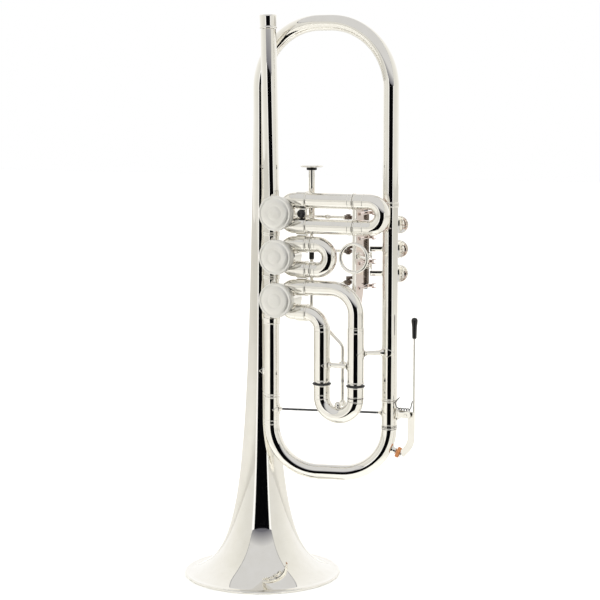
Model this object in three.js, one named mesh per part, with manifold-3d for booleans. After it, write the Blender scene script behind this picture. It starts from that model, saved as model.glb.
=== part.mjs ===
// Rotary valve trumpet in B flat, standing on its bell.
// Millimetres, +Z up. The bell axis, the bell bow and the return tube lie in one upright plane.
// The rotors turn about Y: their screw caps face -Y, and the stop arms, links and levers lie behind them.
import * as THREE from "three";
import { mergeVertices } from "three/addons/utils/BufferGeometryUtils.js";
import Module from "manifold-3d";

const wasm = await Module();
wasm.setup();

// Fits and facets
const fit = { gap: 0.3, slideGap: 0.5, overrun: 2, bite: 0.6, weld: 0.01, merge: 1e-4 };
const facets = { bell: 20, casing: 16, tube: 12, rod: 8, bend: 4, flare: 9 };

// Tubing: fixed sleeves, the slide legs that run in them, and the rings that finish their ends
const tubing = {
  sleeveR: 6.2, sleeveWall: 0.55, legWall: 0.5, ringProud: 0.5, ringWide: 1.5, collarWall: 0.5,
};
tubing.boreR = tubing.sleeveR - tubing.sleeveWall;
tubing.legR = tubing.boreR - fit.slideGap;
tubing.legBoreR = tubing.legR - tubing.legWall;
tubing.ringR = tubing.sleeveR + tubing.ringProud;
tubing.collarBoreR = tubing.sleeveR + fit.gap;
tubing.collarR = tubing.collarBoreR + tubing.collarWall;

// Valve section: the leadpipe line, and the rotors beside it
const line = { x: 19, y: -20.8 };
const valve = {
  count: 3, pitch: 35, middleZ: 271.2, lineOffset: 9.5, loopOffset: 10.3,
  casingR: 12.5, casingWall: 2.2, casingHalf: 11, backWall: 2.8, loopStub: 17,
  portR: 4.6, portDepth: 6.5, portIn: 5.4, stubRoot: 4, elbowOut: 10.5, straightOut: 9,
};
valve.x = line.x + valve.lineOffset;
valve.boreR = valve.casingR - valve.casingWall;
valve.lineStub = (valve.pitch - fit.gap) / 2;
valve.z = (i) => valve.middleZ + valve.pitch * (1 - i);
valve.mirror = (i) => (i === 0 ? -1 : 1);
const journal = { r: 3, frontPlate: 2.7, stemProud: 4.6 };
journal.boreR = journal.r + fit.gap;
const cap = { r: 14.2, skirt: 4, face: 3.9, dome: 1.6, rimRound: 1, domeShare: 0.72 };
const stopArm = {
  hubR: 5, low: 0.4, thick: 4, bossR: 2.4, bossProud: 0.4, noseOut: 9.6, noseWide: 3.4, noseThick: 2,
};
const cork = { r: 2, out: 8, high: 3.5, socketR: 3, socketHigh: 1.4, restTurn: 30 };

// Levers, their shared axle and carrier, and the links to the stop arms
const axle = { x: 87, y: 14, r: 1.8, topZ: 307, pitch: 19.8 };
const carrier = {
  x: 88.4, y: -8, wide: 3.2, frontY: -13.4, backY: 2, lowZ: 233, pointHigh: 10, highZ: 318, lugThick: 2.6, lugWide: 6, lugR: 4.4,
  stayZ: 295, topStayZ: 314,
};
const lever = {
  press: 26, hubR: 4.1, plateX: 112.7, plateY: 23, plateR: 7.3, plateThick: 1.5,
  ballX: 79.5, ballY: -5, ballZ: [302.6, 275.5, 250.5], barSide: [-1, 1, 1], barRise: 3.3,
  barWide: 3.4, barThick: 2.8, armWide: 3, armThick: 2.2, pinR: 1.3, pinHeadR: 1.9, pinHeadThick: 0.9,
};
lever.boreR = axle.r + fit.gap;
const link = { endY: -3.2, rodR: 1.1, eyeR: 3.1, eyeThick: 3, buttonR: 2.6, buttonThick: 2 };
link.eyeBoreR = lever.pinR + fit.gap;
const spring = { wireR: 0.45, clear: 0.8, pitch: 1.35, turns: 3.5, sides: 5, steps: 8, lift: 0.7 };
const fingerRing = { x: 95.2, y: -32, z: 272.8, r: 11.2, wireR: 1.35, strutR: 2 };

// Valve slides: sleeve ends, travel shoulders and bows, measured from the rotor axis or along X and Z
const firstSlide = { sleeveEnd: 91, legStart: 50, bowStart: 104.2 };
const secondSlide = { sleeveEnd: 54.6, legStart: 39, bowStart: 59.4 };
const thirdSlide = {
  leftX: 63.3, rightX: 92.6, rightBend: 20, leftBend: 13.5, sleeveEndZ: 171, legTopZ: 207, bowStartZ: 158.7,
  lowR: 6.6, lowHigh: 46,
};
const bumper = { thick: 1.8, proud: 1.2 };
const collar = { start: valve.x + valve.casingR + fit.gap, end: 48.3 };
const block = { from: 43.2, to: 48.3, deep: 5, knobR: 3.4, knobProud: 3.2 };

// Trigger of the third slide: a push rod behind the valve slides
const trigger = {
  x: 49.6, y: -10, plungerR: 2.45, plungerLowZ: 296, discZ: 342.5, discR: 9.2, discThick: 1.6,
  neckR: 4.4, neckHigh: 3.4, rodR: 1.3, jogTopZ: 227, jogLowZ: 201, lowX: 78, lowY: -12.2, footZ: 155.4,
  ballR: 2.5, bendR: 10,
  eyeWall: 1.5, eyeHigh: 9, guideZ: 184.6, guideHigh: 4,
};

// Bell, bell bow and the tubes of the main line
const bell = {
  rimR: 65, floorR: 8, knee: 9.3, power: 0.435, wall: 0.7, beadR: 1.1, stemR: 6.3, topZ: 403.3, footWide: 1.4,
  spreadPower: 2.1,
};
const bow = { bendR: 52, crownZ: 457.3, wall: 0.55, tailZ: 312.2 };
const returnTube = { x: 113.6, r: 6.15, ferruleLow: 309, ferruleHigh: 316.5 };
const leadpipe = { topZ: 452.2, lean: 2.6, footGap: 0.5, r: 6.15, boreTopR: 4.7, boreLowR: 5.4 };
const receiver = { r: 6.95, high: 11, beadR: 7.5, beadHigh: 1.6, boreR: 5, boreLowR: 4.75 };
const mainSlide = {
  bowStartZ: 133, bendR: 38.5, legTopZ: 212, shoulderRise: 22.7, stayRise: 12, stayR: 1.1, ringDrop: 0.5,
};
mainSlide.shoulderZ = mainSlide.bowStartZ + mainSlide.shoulderRise;
mainSlide.sleeveEndZ = mainSlide.shoulderZ + fit.gap;
const stay = { r: 1.9, flangeR: 3.7, flangeThick: 1.5, upperZ: 341.7, lowerRise: 18, returnZ: 195 };
stay.lowerZ = mainSlide.sleeveEndZ + stay.lowerRise;

// Water key on the main slide: its pivot stands above the bow's start, and carries the rest along
const waterKey = {
  pivotX: 128.9, pivotRise: 12.1, pinR: 1.1, hubR: 2.6, hubHalf: 2.4, earThick: 1.2, earR: 2.8,
  padThick: 1.6, padHigh: 11, armWide: 5.6, armThick: 1.7, armBend: 9, thumbX: 134.7, thumbRise: 78.9,
  tipLong: 17, tipR: 2.6, kneeX: 132.6, kneeDrop: 24.6, drainShare: 0.394, nippleR: 2.7, nippleBoreR: 1.2,
  nippleLong: 3.6, corkR: 4.4, corkThick: 3, cupR: 3.5, cupThick: 1.2,
};
waterKey.pivotZ = mainSlide.bowStartZ + waterKey.pivotRise;
waterKey.thumbTopZ = waterKey.pivotZ + waterKey.thumbRise;
waterKey.kneeLowZ = waterKey.pivotZ - waterKey.kneeDrop;

// Finishes
const silver = new THREE.MeshStandardMaterial({ color: 0xe9e7e2, metalness: 1, roughness: 0.08 });
const bareBrass = new THREE.MeshStandardMaterial({ color: 0xc8a45c, metalness: 1, roughness: 0.25 });
const steel = new THREE.MeshStandardMaterial({ color: 0xb9bcc0, metalness: 1, roughness: 0.22 });
const blackRubber = new THREE.MeshStandardMaterial({ color: 0x141414, metalness: 0, roughness: 0.6 });
const corkBrown = new THREE.MeshStandardMaterial({ color: 0xb07a4c, metalness: 0, roughness: 0.9 });

const v3 = (x, y, z) => new THREE.Vector3(x, y, z);
const radians = THREE.MathUtils.degToRad;

// A closed geometry becomes a solid, turned the right way out.
function solidOf(geometry) {
  const bare = new THREE.BufferGeometry();
  const loose = geometry.index ? geometry.toNonIndexed() : geometry;
  bare.setAttribute("position", loose.getAttribute("position"));
  const merged = mergeVertices(bare, fit.merge);
  const triVerts = [];
  const index = merged.index.array;
  for (let i = 0; i < index.length; i += 3) {
    const [a, b, c] = [index[i], index[i + 1], index[i + 2]];
    if (a !== b && b !== c && c !== a) triVerts.push(a, b, c);
  }
  const make = () => new wasm.Manifold(new wasm.Mesh({
    numProp: 3,
    vertProperties: merged.getAttribute("position").array,
    triVerts: new Uint32Array(triVerts),
  }));
  const made = make();
  if (made.volume() > 0) return made;
  for (let i = 0; i < triVerts.length; i += 3) {
    [triVerts[i + 1], triVerts[i + 2]] = [triVerts[i + 2], triVerts[i + 1]];
  }
  return make();
}

function geometryOf(solid) {
  const mesh = solid.simplify(fit.weld).getMesh();
  const geometry = new THREE.BufferGeometry();
  geometry.setAttribute("position", new THREE.BufferAttribute(mesh.vertProperties, 3));
  geometry.setIndex(new THREE.BufferAttribute(mesh.triVerts, 1));
  geometry.computeVertexNormals();
  return geometry;
}

// The radius at which a round cutter's flats, not its corners, keep a clearance
const around = (radius, sides) => radius / Math.cos(Math.PI / sides);
const joined = (solids) => solids.reduce((whole, piece) => whole.add(piece));
const cutBy = (solid, cutters) => cutters.reduce((whole, cutter) => whole.subtract(cutter), solid);

// A round bar between two points
function rod(from, to, radius, sides = facets.rod) {
  const along = to.clone().sub(from);
  const geometry = new THREE.CylinderGeometry(radius, radius, along.length(), sides);
  geometry.applyQuaternion(new THREE.Quaternion().setFromUnitVectors(v3(0, 1, 0), along.clone().normalize()));
  const middle = from.clone().add(to).multiplyScalar(0.5);
  geometry.translate(middle.x, middle.y, middle.z);
  return solidOf(geometry);
}

// A flat bar between two points of one level, wide across and thick in Z
function flatBar(from, to, wide, thick) {
  const along = to.clone().sub(from);
  const geometry = new THREE.BoxGeometry(along.length(), wide, thick);
  geometry.rotateZ(Math.atan2(along.y, along.x));
  const middle = from.clone().add(to).multiplyScalar(0.5);
  geometry.translate(middle.x, middle.y, middle.z);
  return solidOf(geometry);
}

function slab(low, high) {
  const size = high.clone().sub(low);
  const geometry = new THREE.BoxGeometry(size.x, size.y, size.z);
  geometry.translate((low.x + high.x) / 2, (low.y + high.y) / 2, (low.z + high.z) / 2);
  return solidOf(geometry);
}

function ball(centre, radius) {
  const geometry = new THREE.SphereGeometry(radius, facets.rod, 6);
  geometry.translate(centre.x, centre.y, centre.z);
  return solidOf(geometry);
}

// A turned piece from pairs of radius and height. Its profile closes on itself, and its axis is Y.
function turned(profile, sides = facets.tube) {
  const points = [...profile, profile[0]].map(([r, h]) => new THREE.Vector2(r, h));
  return new THREE.LatheGeometry(points, sides);
}
const turnedUp = (profile, sides) => solidOf(turned(profile, sides).rotateX(Math.PI / 2));
const turnedRight = (profile, sides) => solidOf(turned(profile, sides).rotateZ(-Math.PI / 2));

// A path through stations, each with its own place and direction, evenly spread over the curve's range
class StationPath extends THREE.Curve {
  constructor(stations) {
    super();
    this.stations = stations;
  }
  getPoint(t, target = new THREE.Vector3()) {
    const last = this.stations.length - 1;
    const at = Math.min(t * last, last);
    const low = Math.min(Math.floor(at + 1e-6), last);
    const high = Math.min(low + 1, last);
    return target.lerpVectors(this.stations[low].point, this.stations[high].point, Math.max(at - low, 0));
  }
  getPointAt(t, target) {
    return this.getPoint(t, target);
  }
  getTangentAt(t, target = new THREE.Vector3()) {
    return target.copy(this.stations[Math.round(t * (this.stations.length - 1))].tangent);
  }
}

// Straight runs through the points, joined by round bends
function routed(points, bendR, bendSteps) {
  const stations = [];
  const put = (point, tangent) => {
    const last = stations[stations.length - 1];
    if (!last || last.point.distanceTo(point) > fit.gap / 10) stations.push({ point, tangent });
  };
  const heading = (i) => points[i + 1].clone().sub(points[i]).normalize();
  put(points[0].clone(), heading(0));
  for (let i = 1; i < points.length - 1; i += 1) {
    const [before, after] = [heading(i - 1), heading(i)];
    const turn = before.angleTo(after);
    const axis = before.clone().cross(after).normalize();
    const start = points[i].clone().addScaledVector(before, -bendR * Math.tan(turn / 2));
    const centre = start.clone().addScaledVector(axis.clone().cross(before), bendR);
    for (let step = 0; step <= bendSteps; step += 1) {
      const angle = (turn * step) / bendSteps;
      const arm = start.clone().sub(centre).applyAxisAngle(axis, angle);
      put(centre.clone().add(arm), before.clone().applyAxisAngle(axis, angle));
    }
  }
  put(points[points.length - 1].clone(), heading(points.length - 2));
  return new StationPath(stations);
}

// A pipe along a route, solid where it has no bore
function pipe(points, bendR, radius, boreR = 0, sides = facets.tube, bendSteps = facets.bend) {
  const shape = new THREE.Shape().absarc(0, 0, radius, 0, 2 * Math.PI);
  if (boreR > 0) shape.holes.push(new THREE.Path().absarc(0, 0, boreR, 0, 2 * Math.PI, true));
  const path = routed(points, bendR, bendSteps);
  const steps = path.stations.length - 1;
  return solidOf(new THREE.ExtrudeGeometry(shape, { steps, curveSegments: sides / 2, extrudePath: path }));
}

const root = new THREE.Group();
function place(parent, name, solid, material) {
  const mesh = new THREE.Mesh(geometryOf(solid), material);
  mesh.name = name;
  parent.add(mesh);
  return mesh;
}

// Bell: the flare follows a falling power of the height, down to the stem
const flareR = (z) => {
  const share = (bell.knee / (z + bell.knee)) ** bell.power;
  return Math.max((bell.rimR + bell.floorR) * share - bell.floorR, bell.stemR);
};
const flareWall = (z) => {
  const slope = (flareR(z) - flareR(z + bell.wall)) / bell.wall;
  return bell.wall * Math.sqrt(1 + slope * slope);
};
const flareZ = (i) => bell.topZ * (i / facets.flare) ** bell.spreadPower;
function bellSolid() {
  const outer = [];
  const inner = [];
  for (let i = 0; i <= facets.flare; i += 1) {
    const z = flareZ(i);
    outer.push([flareR(z), z]);
    inner.unshift([flareR(z) - flareWall(z), z]);
  }
  outer[0][1] = bell.beadR;
  inner[inner.length - 1][1] = bell.beadR;
  const innerEdge = inner[inner.length - 1][0];
  const bead = [
    [innerEdge, 0], [innerEdge + bell.footWide, 0],
    [bell.rimR, bell.beadR / 2],
  ];
  return turnedUp([...outer, ...inner, ...bead], facets.bell);
}
place(root, "bell", bellSolid(), silver);

// The bell's straight facets stand a little outside the curve, so its radius is read from the facets.
function bellRadiusAt(z) {
  const above = [...Array(facets.flare + 1).keys()].find((i) => flareZ(i) >= z);
  const [low, high] = [flareZ(above - 1), flareZ(above)];
  return THREE.MathUtils.mapLinear(z, low, high, flareR(low), flareR(high));
}

// Bell bow: up from the stem, over, and down to the ferrule of the return tube
place(root, "bell_bow", pipe([
  v3(0, 0, bell.topZ + fit.gap), v3(0, 0, bow.crownZ),
  v3(returnTube.x, 0, bow.crownZ), v3(returnTube.x, 0, bow.tailZ),
], bow.bendR, bell.stemR, bell.stemR - bow.wall), silver);

// A fixed sleeve as a profile along its axis: a collar that laps the piece before it, and an end ring
function sleeveProfile(start, end, collarFrom, radius, lapR) {
  const way = Math.sign(end - start);
  const ring = end - way * tubing.ringWide;
  const collarEnd = start + way * tubing.ringWide;
  return [
    [tubing.boreR, start], [lapR + fit.gap, start], [lapR + fit.gap, collarFrom],
    [lapR + fit.gap + tubing.collarWall, collarFrom], [lapR + fit.gap + tubing.collarWall, collarEnd],
    [radius, collarEnd], [radius, ring], [tubing.ringR, ring], [tubing.ringR, end], [tubing.boreR, end],
  ];
}
const returnTop = bow.tailZ - fit.gap;
const returnMesh = place(root, "return_tube", turnedUp(
  sleeveProfile(returnTop, mainSlide.sleeveEndZ, returnTube.ferruleHigh, returnTube.r, bell.stemR),
), silver);
returnMesh.position.x = returnTube.x;

const lineBottomZ = valve.z(valve.count - 1) - valve.lineStub;
const lowerMesh = place(root, "lower_main_tube", turnedUp(sleeveProfile(
  lineBottomZ - fit.gap, mainSlide.sleeveEndZ, lineBottomZ + tubing.ringWide, tubing.sleeveR, tubing.sleeveR,
)), silver);
lowerMesh.position.set(line.x, line.y, 0);

// Leadpipe and mouthpiece receiver lean together towards the bell
const lineTopZ = valve.z(0) + valve.lineStub;
const mouthGroup = new THREE.Group();
const leadpipeLong = leadpipe.topZ - lineTopZ - leadpipe.footGap;
mouthGroup.position.set(line.x, line.y, lineTopZ + leadpipe.footGap);
mouthGroup.rotation.y = -Math.atan2(leadpipe.lean, leadpipeLong);
root.add(mouthGroup);
place(mouthGroup, "leadpipe", turnedUp([
  [leadpipe.boreLowR, 0], [leadpipe.r, 0], [leadpipe.r, leadpipeLong], [leadpipe.boreTopR, leadpipeLong],
]), silver);
const receiverLow = leadpipeLong + fit.gap;
place(mouthGroup, "mouthpiece_receiver", turnedUp([
  [receiver.boreLowR, receiverLow], [receiver.beadR, receiverLow],
  [receiver.beadR, receiverLow + receiver.beadHigh],
  [receiver.r, receiverLow + receiver.beadHigh], [receiver.r, receiverLow + receiver.high],
  [receiver.boreR, receiverLow + receiver.high],
], facets.casing), silver);

// Valves: each group's origin is on its rotor axis, half way along the casing
const backY = valve.casingHalf;
const alongY = (x, z, low, high, radius, sides) => rod(v3(x, low, z), v3(x, high, z), radius, sides);
const stopPlace = (angle, out) => [out * Math.cos(angle), out * Math.sin(angle)];
const corkTurn = 45 - cork.restTurn;
const corkAngles = (up) => [180 + corkTurn, 360 - corkTurn].map((angle) => radians(angle * up));

function casingSolid(up) {
  const shell = [alongY(0, 0, -backY, backY, valve.casingR, facets.casing)];
  const cuts = [
    alongY(0, 0, -backY - fit.overrun, backY - valve.backWall, valve.boreR, facets.casing),
    alongY(0, 0, 0, backY + fit.overrun, journal.boreR, facets.tube),
  ];
  for (const side of [1, -1]) {
    const lineAt = (far, off) => v3(-valve.lineOffset + off, 0, side * far);
    const loopAt = (far, off) => v3(far, 0, side * (valve.loopOffset - off));
    for (const [at, stub] of [[lineAt, valve.lineStub], [loopAt, valve.loopStub]]) {
      shell.push(rod(at(valve.stubRoot, 0), at(stub, 0), tubing.sleeveR, facets.tube));
      cuts.push(rod(at(valve.straightOut, 0), at(stub + fit.overrun, 0), tubing.boreR, facets.tube));
      const portEnd = valve.elbowOut - valve.portDepth - fit.overrun;
      cuts.push(rod(at(valve.elbowOut, 0), at(portEnd, valve.portIn), valve.portR));
    }
  }
  for (const angle of corkAngles(up)) {
    const [x, z] = stopPlace(angle, cork.out);
    shell.push(alongY(x, z, backY - fit.bite, backY + cork.socketHigh, cork.socketR));
    cuts.push(alongY(x, z, backY, backY + cork.socketHigh + fit.overrun, cork.r + fit.gap));
  }
  return cutBy(joined(shell), cuts);
}

const rotorFront = -backY + journal.frontPlate + fit.gap;
const rotorBack = backY - valve.backWall - fit.gap;
function rotorSolid() {
  const body = joined([
    alongY(0, 0, rotorFront, rotorBack, valve.boreR - fit.gap, facets.casing),
    alongY(0, 0, -backY + fit.gap, backY + journal.stemProud, journal.r, facets.tube),
  ]);
  const reach = valve.elbowOut;
  const middle = valve.lineOffset - valve.portIn + fit.overrun / 2;
  const sagitta = valve.lineOffset - middle;
  const bendR = (reach * reach + sagitta * sagitta) / (2 * sagitta);
  const passage = (side) => {
    const geometry = new THREE.TorusGeometry(bendR, valve.portR, facets.rod, facets.bell);
    geometry.rotateX(Math.PI / 2);
    geometry.translate(side * (middle + bendR), 0, 0);
    return solidOf(geometry);
  };
  return cutBy(body, [passage(-1), passage(1)]);
}

function capSolid() {
  const boreR = valve.casingR + fit.gap;
  const innerFace = -backY - fit.gap;
  const outerFace = innerFace - cap.face;
  return solidOf(turned([
    [0, innerFace], [boreR, innerFace], [boreR, -backY + cap.skirt], [cap.r, -backY + cap.skirt],
    [cap.r, outerFace], [cap.r - cap.rimRound, outerFace - cap.rimRound],
    [cap.r * cap.domeShare, outerFace - cap.dome], [0, outerFace - cap.dome],
  ], facets.casing));
}

const linkPinR = linkStroke().pinR;
function stopArmSolid(up) {
  const low = backY + stopArm.low;
  const high = low + stopArm.thick;
  const [pinX, pinZ] = stopPlace(radians(45 * up), linkPinR);
  const [noseX, noseZ] = stopPlace(radians(225 * up), stopArm.noseOut);
  const nose = new THREE.BoxGeometry(stopArm.noseOut, stopArm.noseThick, stopArm.noseWide);
  nose.rotateY(-radians(225 * up));
  nose.translate(noseX / 2, high - stopArm.noseThick / 2, noseZ / 2);
  const arm = joined([
    alongY(0, 0, low, high, stopArm.hubR, facets.tube),
    alongY(pinX, pinZ, low, high + stopArm.bossProud, stopArm.bossR),
    solidOf(nose),
  ]);
  return cutBy(arm, [alongY(0, 0, low - fit.overrun, high + fit.overrun, journal.boreR, facets.tube)]);
}

for (let i = 0; i < valve.count; i += 1) {
  const number = i + 1;
  const up = valve.mirror(i);
  const group = new THREE.Group();
  group.position.set(valve.x, line.y, valve.z(i));
  root.add(group);
  place(group, `valve_casing_${number}`, casingSolid(up), silver);
  place(group, `rotor_${number}`, rotorSolid(), bareBrass);
  place(group, `bearing_plate_${number}`, cutBy(
    alongY(0, 0, -backY, -backY + journal.frontPlate, valve.boreR - fit.gap, facets.casing),
    [alongY(0, 0, -backY - fit.overrun, 0, journal.boreR, facets.tube)],
  ), bareBrass);
  place(group, `valve_cap_${number}`, capSolid(), silver);
  place(group, `stop_arm_${number}`, stopArmSolid(up), silver);
  corkAngles(up).forEach((angle, side) => {
    const [x, z] = stopPlace(angle, cork.out);
    const name = `stop_cork_${number}${side === 0 ? "_rest" : "_pressed"}`;
    place(group, name, alongY(x, z, backY + fit.gap, backY + cork.high, cork.r), corkBrown);
  });
}

// Thin rings over the joints of the casings
for (let i = 0; i < valve.count - 1; i += 1) {
  const half = tubing.ringWide;
  const ring = place(root, `knuckle_ring_${i + 1}`, turnedUp([
    [tubing.collarBoreR, -half], [tubing.collarR, -half], [tubing.collarR, half], [tubing.collarBoreR, half],
  ]), silver);
  ring.position.set(line.x, line.y, valve.z(i) - valve.pitch / 2);
}

// First and second valve slides: sleeves along X above and below each rotor axis
const stubEnd = valve.x + valve.loopStub;
function straightSleeve(name, z, y, end, extras) {
  const start = stubEnd + fit.gap;
  const tube = turnedRight([
    [tubing.boreR, start], [tubing.collarBoreR, start], [tubing.collarBoreR, collar.start],
    [tubing.collarR, collar.start], [tubing.collarR, collar.end], [tubing.sleeveR, collar.end],
    [tubing.sleeveR, end - tubing.ringWide], [tubing.ringR, end - tubing.ringWide],
    [tubing.ringR, end], [tubing.boreR, end],
  ]);
  const bore = rod(v3(start, 0, 0), v3(end, 0, 0), tubing.boreR + fit.gap / 10, facets.tube);
  const added = extras.map((extra) => cutBy(extra, [bore]));
  const mesh = place(root, name, joined([tube, ...added]), silver);
  mesh.position.set(0, y, z);
}
// An upright eye behind a tube: it guides the trigger's plunger
function triggerEye(boreR, high) {
  const [x, y] = [trigger.x, trigger.y - line.y];
  const eyeR = boreR + trigger.eyeWall;
  const body = joined([
    rod(v3(x, y, -high / 2), v3(x, y, high / 2), eyeR),
    slab(v3(x - eyeR / 2, tubing.sleeveR - tubing.ringProud, -high / 2), v3(x + eyeR / 2, y, high / 2)),
  ]);
  return cutBy(body, [rod(v3(x, y, -high), v3(x, y, high), boreR)]);
}
const plungerEye = () => triggerEye(trigger.plungerR + fit.gap, trigger.eyeHigh);
straightSleeve(
  "first_slide_sleeve_upper", valve.z(0) + valve.loopOffset, line.y, firstSlide.sleeveEnd, [plungerEye()],
);
const blockHigh = 2 * (valve.loopOffset - tubing.collarR);
const blockSolid = joined([
  slab(
    v3(block.from, -block.deep / 2, tubing.collarR - fit.gap),
    v3(block.to, block.deep / 2, tubing.collarR + blockHigh - fit.gap),
  ),
  rod(
    v3((block.from + block.to) / 2, fit.bite - block.deep / 2, valve.loopOffset),
    v3((block.from + block.to) / 2, -block.deep / 2 - block.knobProud, valve.loopOffset),
    block.knobR,
  ),
]);
straightSleeve(
  "first_slide_sleeve_lower", valve.z(0) - valve.loopOffset, line.y, firstSlide.sleeveEnd, [blockSolid],
);
straightSleeve("second_slide_sleeve_upper", valve.z(1) + valve.loopOffset, line.y, secondSlide.sleeveEnd, []);
straightSleeve("second_slide_sleeve_lower", valve.z(1) - valve.loopOffset, line.y, secondSlide.sleeveEnd, []);

// A slide: two legs along local X that run in the sleeves, shoulders, and a bow with round corners
function slideSolid({ legStart, shoulder, bowStart, half, bendR, bowR = tubing.sleeveR, rings = [], extras = [] }) {
  const bowFar = bowStart + bendR;
  const corners = (start) => [[start, half], [bowFar, half], [bowFar, -half], [start, -half]];
  const route = (start) => corners(start).map(([x, z]) => v3(x, 0, z));
  const body = [pipe(route(shoulder), bendR, bowR)];
  for (const side of [1, -1]) {
    const on = (x) => v3(x, 0, side * half);
    body.push(rod(on(legStart), on(shoulder + fit.bite), tubing.legR, facets.tube));
    for (const at of [shoulder, ...rings]) {
      body.push(rod(on(at), on(at + tubing.ringWide), tubing.ringR, facets.tube));
    }
  }
  const solid = joined([...body, ...extras]);
  const cut = pipe(route(legStart - fit.overrun), bendR, tubing.legBoreR);
  return cutBy(solid, [cut]);
}
function crossSlide(name, i, sizes) {
  const mesh = place(root, name, slideSolid({
    legStart: sizes.legStart, shoulder: sizes.sleeveEnd + fit.gap, bowStart: sizes.bowStart,
    half: valve.loopOffset, bendR: valve.loopOffset,
  }), silver);
  mesh.position.set(0, line.y, valve.z(i));
}
crossSlide("first_slide", 0, firstSlide);
crossSlide("second_slide", 1, secondSlide);

// Third valve slide: the sleeves bend down, the upper one outside the lower one
function thirdSleeve(name, z, legX, bendR, extras) {
  const tube = pipe([
    v3(stubEnd + fit.gap, 0, z), v3(legX, 0, z), v3(legX, 0, thirdSlide.sleeveEndZ),
  ], bendR, tubing.sleeveR, tubing.boreR);
  const seatR = tubing.sleeveR - tubing.ringProud / 2;
  const collarRing = turnedRight([
    [tubing.collarBoreR, collar.start], [tubing.collarR, collar.start], [tubing.collarR, collar.end],
    [seatR, collar.end], [seatR, stubEnd + fit.gap], [tubing.collarBoreR, stubEnd + fit.gap],
  ]).translate([0, 0, z]);
  const endRing = turnedUp([
    [tubing.boreR, 0], [tubing.ringR, 0], [tubing.ringR, tubing.ringWide], [tubing.boreR, tubing.ringWide],
  ]).translate([legX, 0, thirdSlide.sleeveEndZ]);
  const lowTube = turnedUp([
    [tubing.boreR, 0], [thirdSlide.lowR, 0], [thirdSlide.lowR, thirdSlide.lowHigh],
    [tubing.boreR, thirdSlide.lowHigh],
  ]).translate([legX, 0, thirdSlide.sleeveEndZ]);
  const mesh = place(root, name, joined([tube, collarRing, endRing, lowTube, ...extras]), silver);
  mesh.position.y = line.y;
}
const thirdZ = valve.z(2);
thirdSleeve("third_slide_sleeve_lower", thirdZ - valve.loopOffset, thirdSlide.leftX, thirdSlide.leftBend, []);
// The stay between the legs carries the guide eye of the trigger rod.
const legBack = thirdSlide.lowR + fit.gap;
function guideStay() {
  const guideY = trigger.lowY - line.y;
  const eyeR = trigger.rodR + fit.gap + trigger.eyeWall;
  const halfHigh = trigger.guideHigh / 2;
  const guideAt = (rise) => v3(trigger.lowX, guideY, trigger.guideZ + rise);
  const bore = rod(guideAt(-2 * halfHigh), guideAt(2 * halfHigh), trigger.rodR + fit.gap);
  const eye = rod(guideAt(-halfHigh), guideAt(halfHigh), eyeR);
  const neck = slab(
    v3(trigger.lowX - stay.r / 2, 0, trigger.guideZ - stay.r / 2),
    v3(trigger.lowX + stay.r / 2, guideY, trigger.guideZ + stay.r / 2),
  );
  const barAt = (x) => v3(x, 0, trigger.guideZ);
  const bar = rod(barAt(thirdSlide.leftX), barAt(thirdSlide.rightX), stay.r);
  const flangeEnd = thirdSlide.leftX + legBack + stay.flangeThick;
  const leftFlange = rod(barAt(thirdSlide.leftX), barAt(flangeEnd), stay.flangeR);
  const clear = [
    rod(
      v3(thirdSlide.leftX, 0, thirdSlide.sleeveEndZ), v3(thirdSlide.leftX, 0, thirdZ), legBack, facets.tube,
    ),
    slab(
      v3(thirdSlide.leftX - stay.flangeR * 2, -stay.flangeR * 2, trigger.guideZ - stay.flangeR * 2),
      v3(thirdSlide.leftX, stay.flangeR * 2, trigger.guideZ + stay.flangeR * 2),
    ),
    rod(
      v3(thirdSlide.rightX, 0, thirdSlide.sleeveEndZ), v3(thirdSlide.rightX, 0, thirdZ - valve.loopOffset),
      tubing.boreR + fit.gap / 10, facets.tube,
    ),
  ];
  return cutBy(joined([bar, leftFlange, eye, neck]), [...clear, bore]);
}
thirdSleeve(
  "third_slide_sleeve_upper", thirdZ + valve.loopOffset, thirdSlide.rightX, thirdSlide.rightBend,
  [guideStay()],
);

const slideDown = new THREE.Euler(0, Math.PI / 2, 0, "ZYX");
const thirdHalf = (thirdSlide.rightX - thirdSlide.leftX) / 2;
const thirdMiddle = (thirdSlide.rightX + thirdSlide.leftX) / 2;
const shoulderGap = bumper.thick + 2 * fit.gap;
const footX = trigger.lowX - thirdMiddle;
const footEnd = -trigger.footZ + trigger.ballR + fit.gap + stay.r;
const thirdMesh = place(root, "third_slide", slideSolid({
  legStart: -thirdSlide.legTopZ, shoulder: shoulderGap - thirdSlide.sleeveEndZ,
  bowStart: -thirdSlide.bowStartZ, half: thirdHalf, bendR: thirdHalf, bowR: thirdSlide.lowR,
  extras: [
    rod(v3(-thirdSlide.bowStartZ + thirdHalf, 0, footX), v3(footEnd, trigger.lowY - line.y, footX), stay.r),
  ],
}), silver);
thirdMesh.rotation.copy(slideDown);
thirdMesh.position.set(thirdMiddle, line.y, 0);
for (const [side, x] of [["left", thirdSlide.leftX], ["right", thirdSlide.rightX]]) {
  const bumperR = tubing.ringR + bumper.proud;
  const innerR = tubing.legR + fit.gap;
  const ring = place(root, `third_slide_bumper_${side}`, turnedUp([
    [innerR, -bumper.thick], [bumperR, -bumper.thick], [bumperR, 0], [innerR, 0],
  ]), blackRubber);
  ring.position.set(x, line.y, thirdSlide.sleeveEndZ - fit.gap);
}

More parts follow.
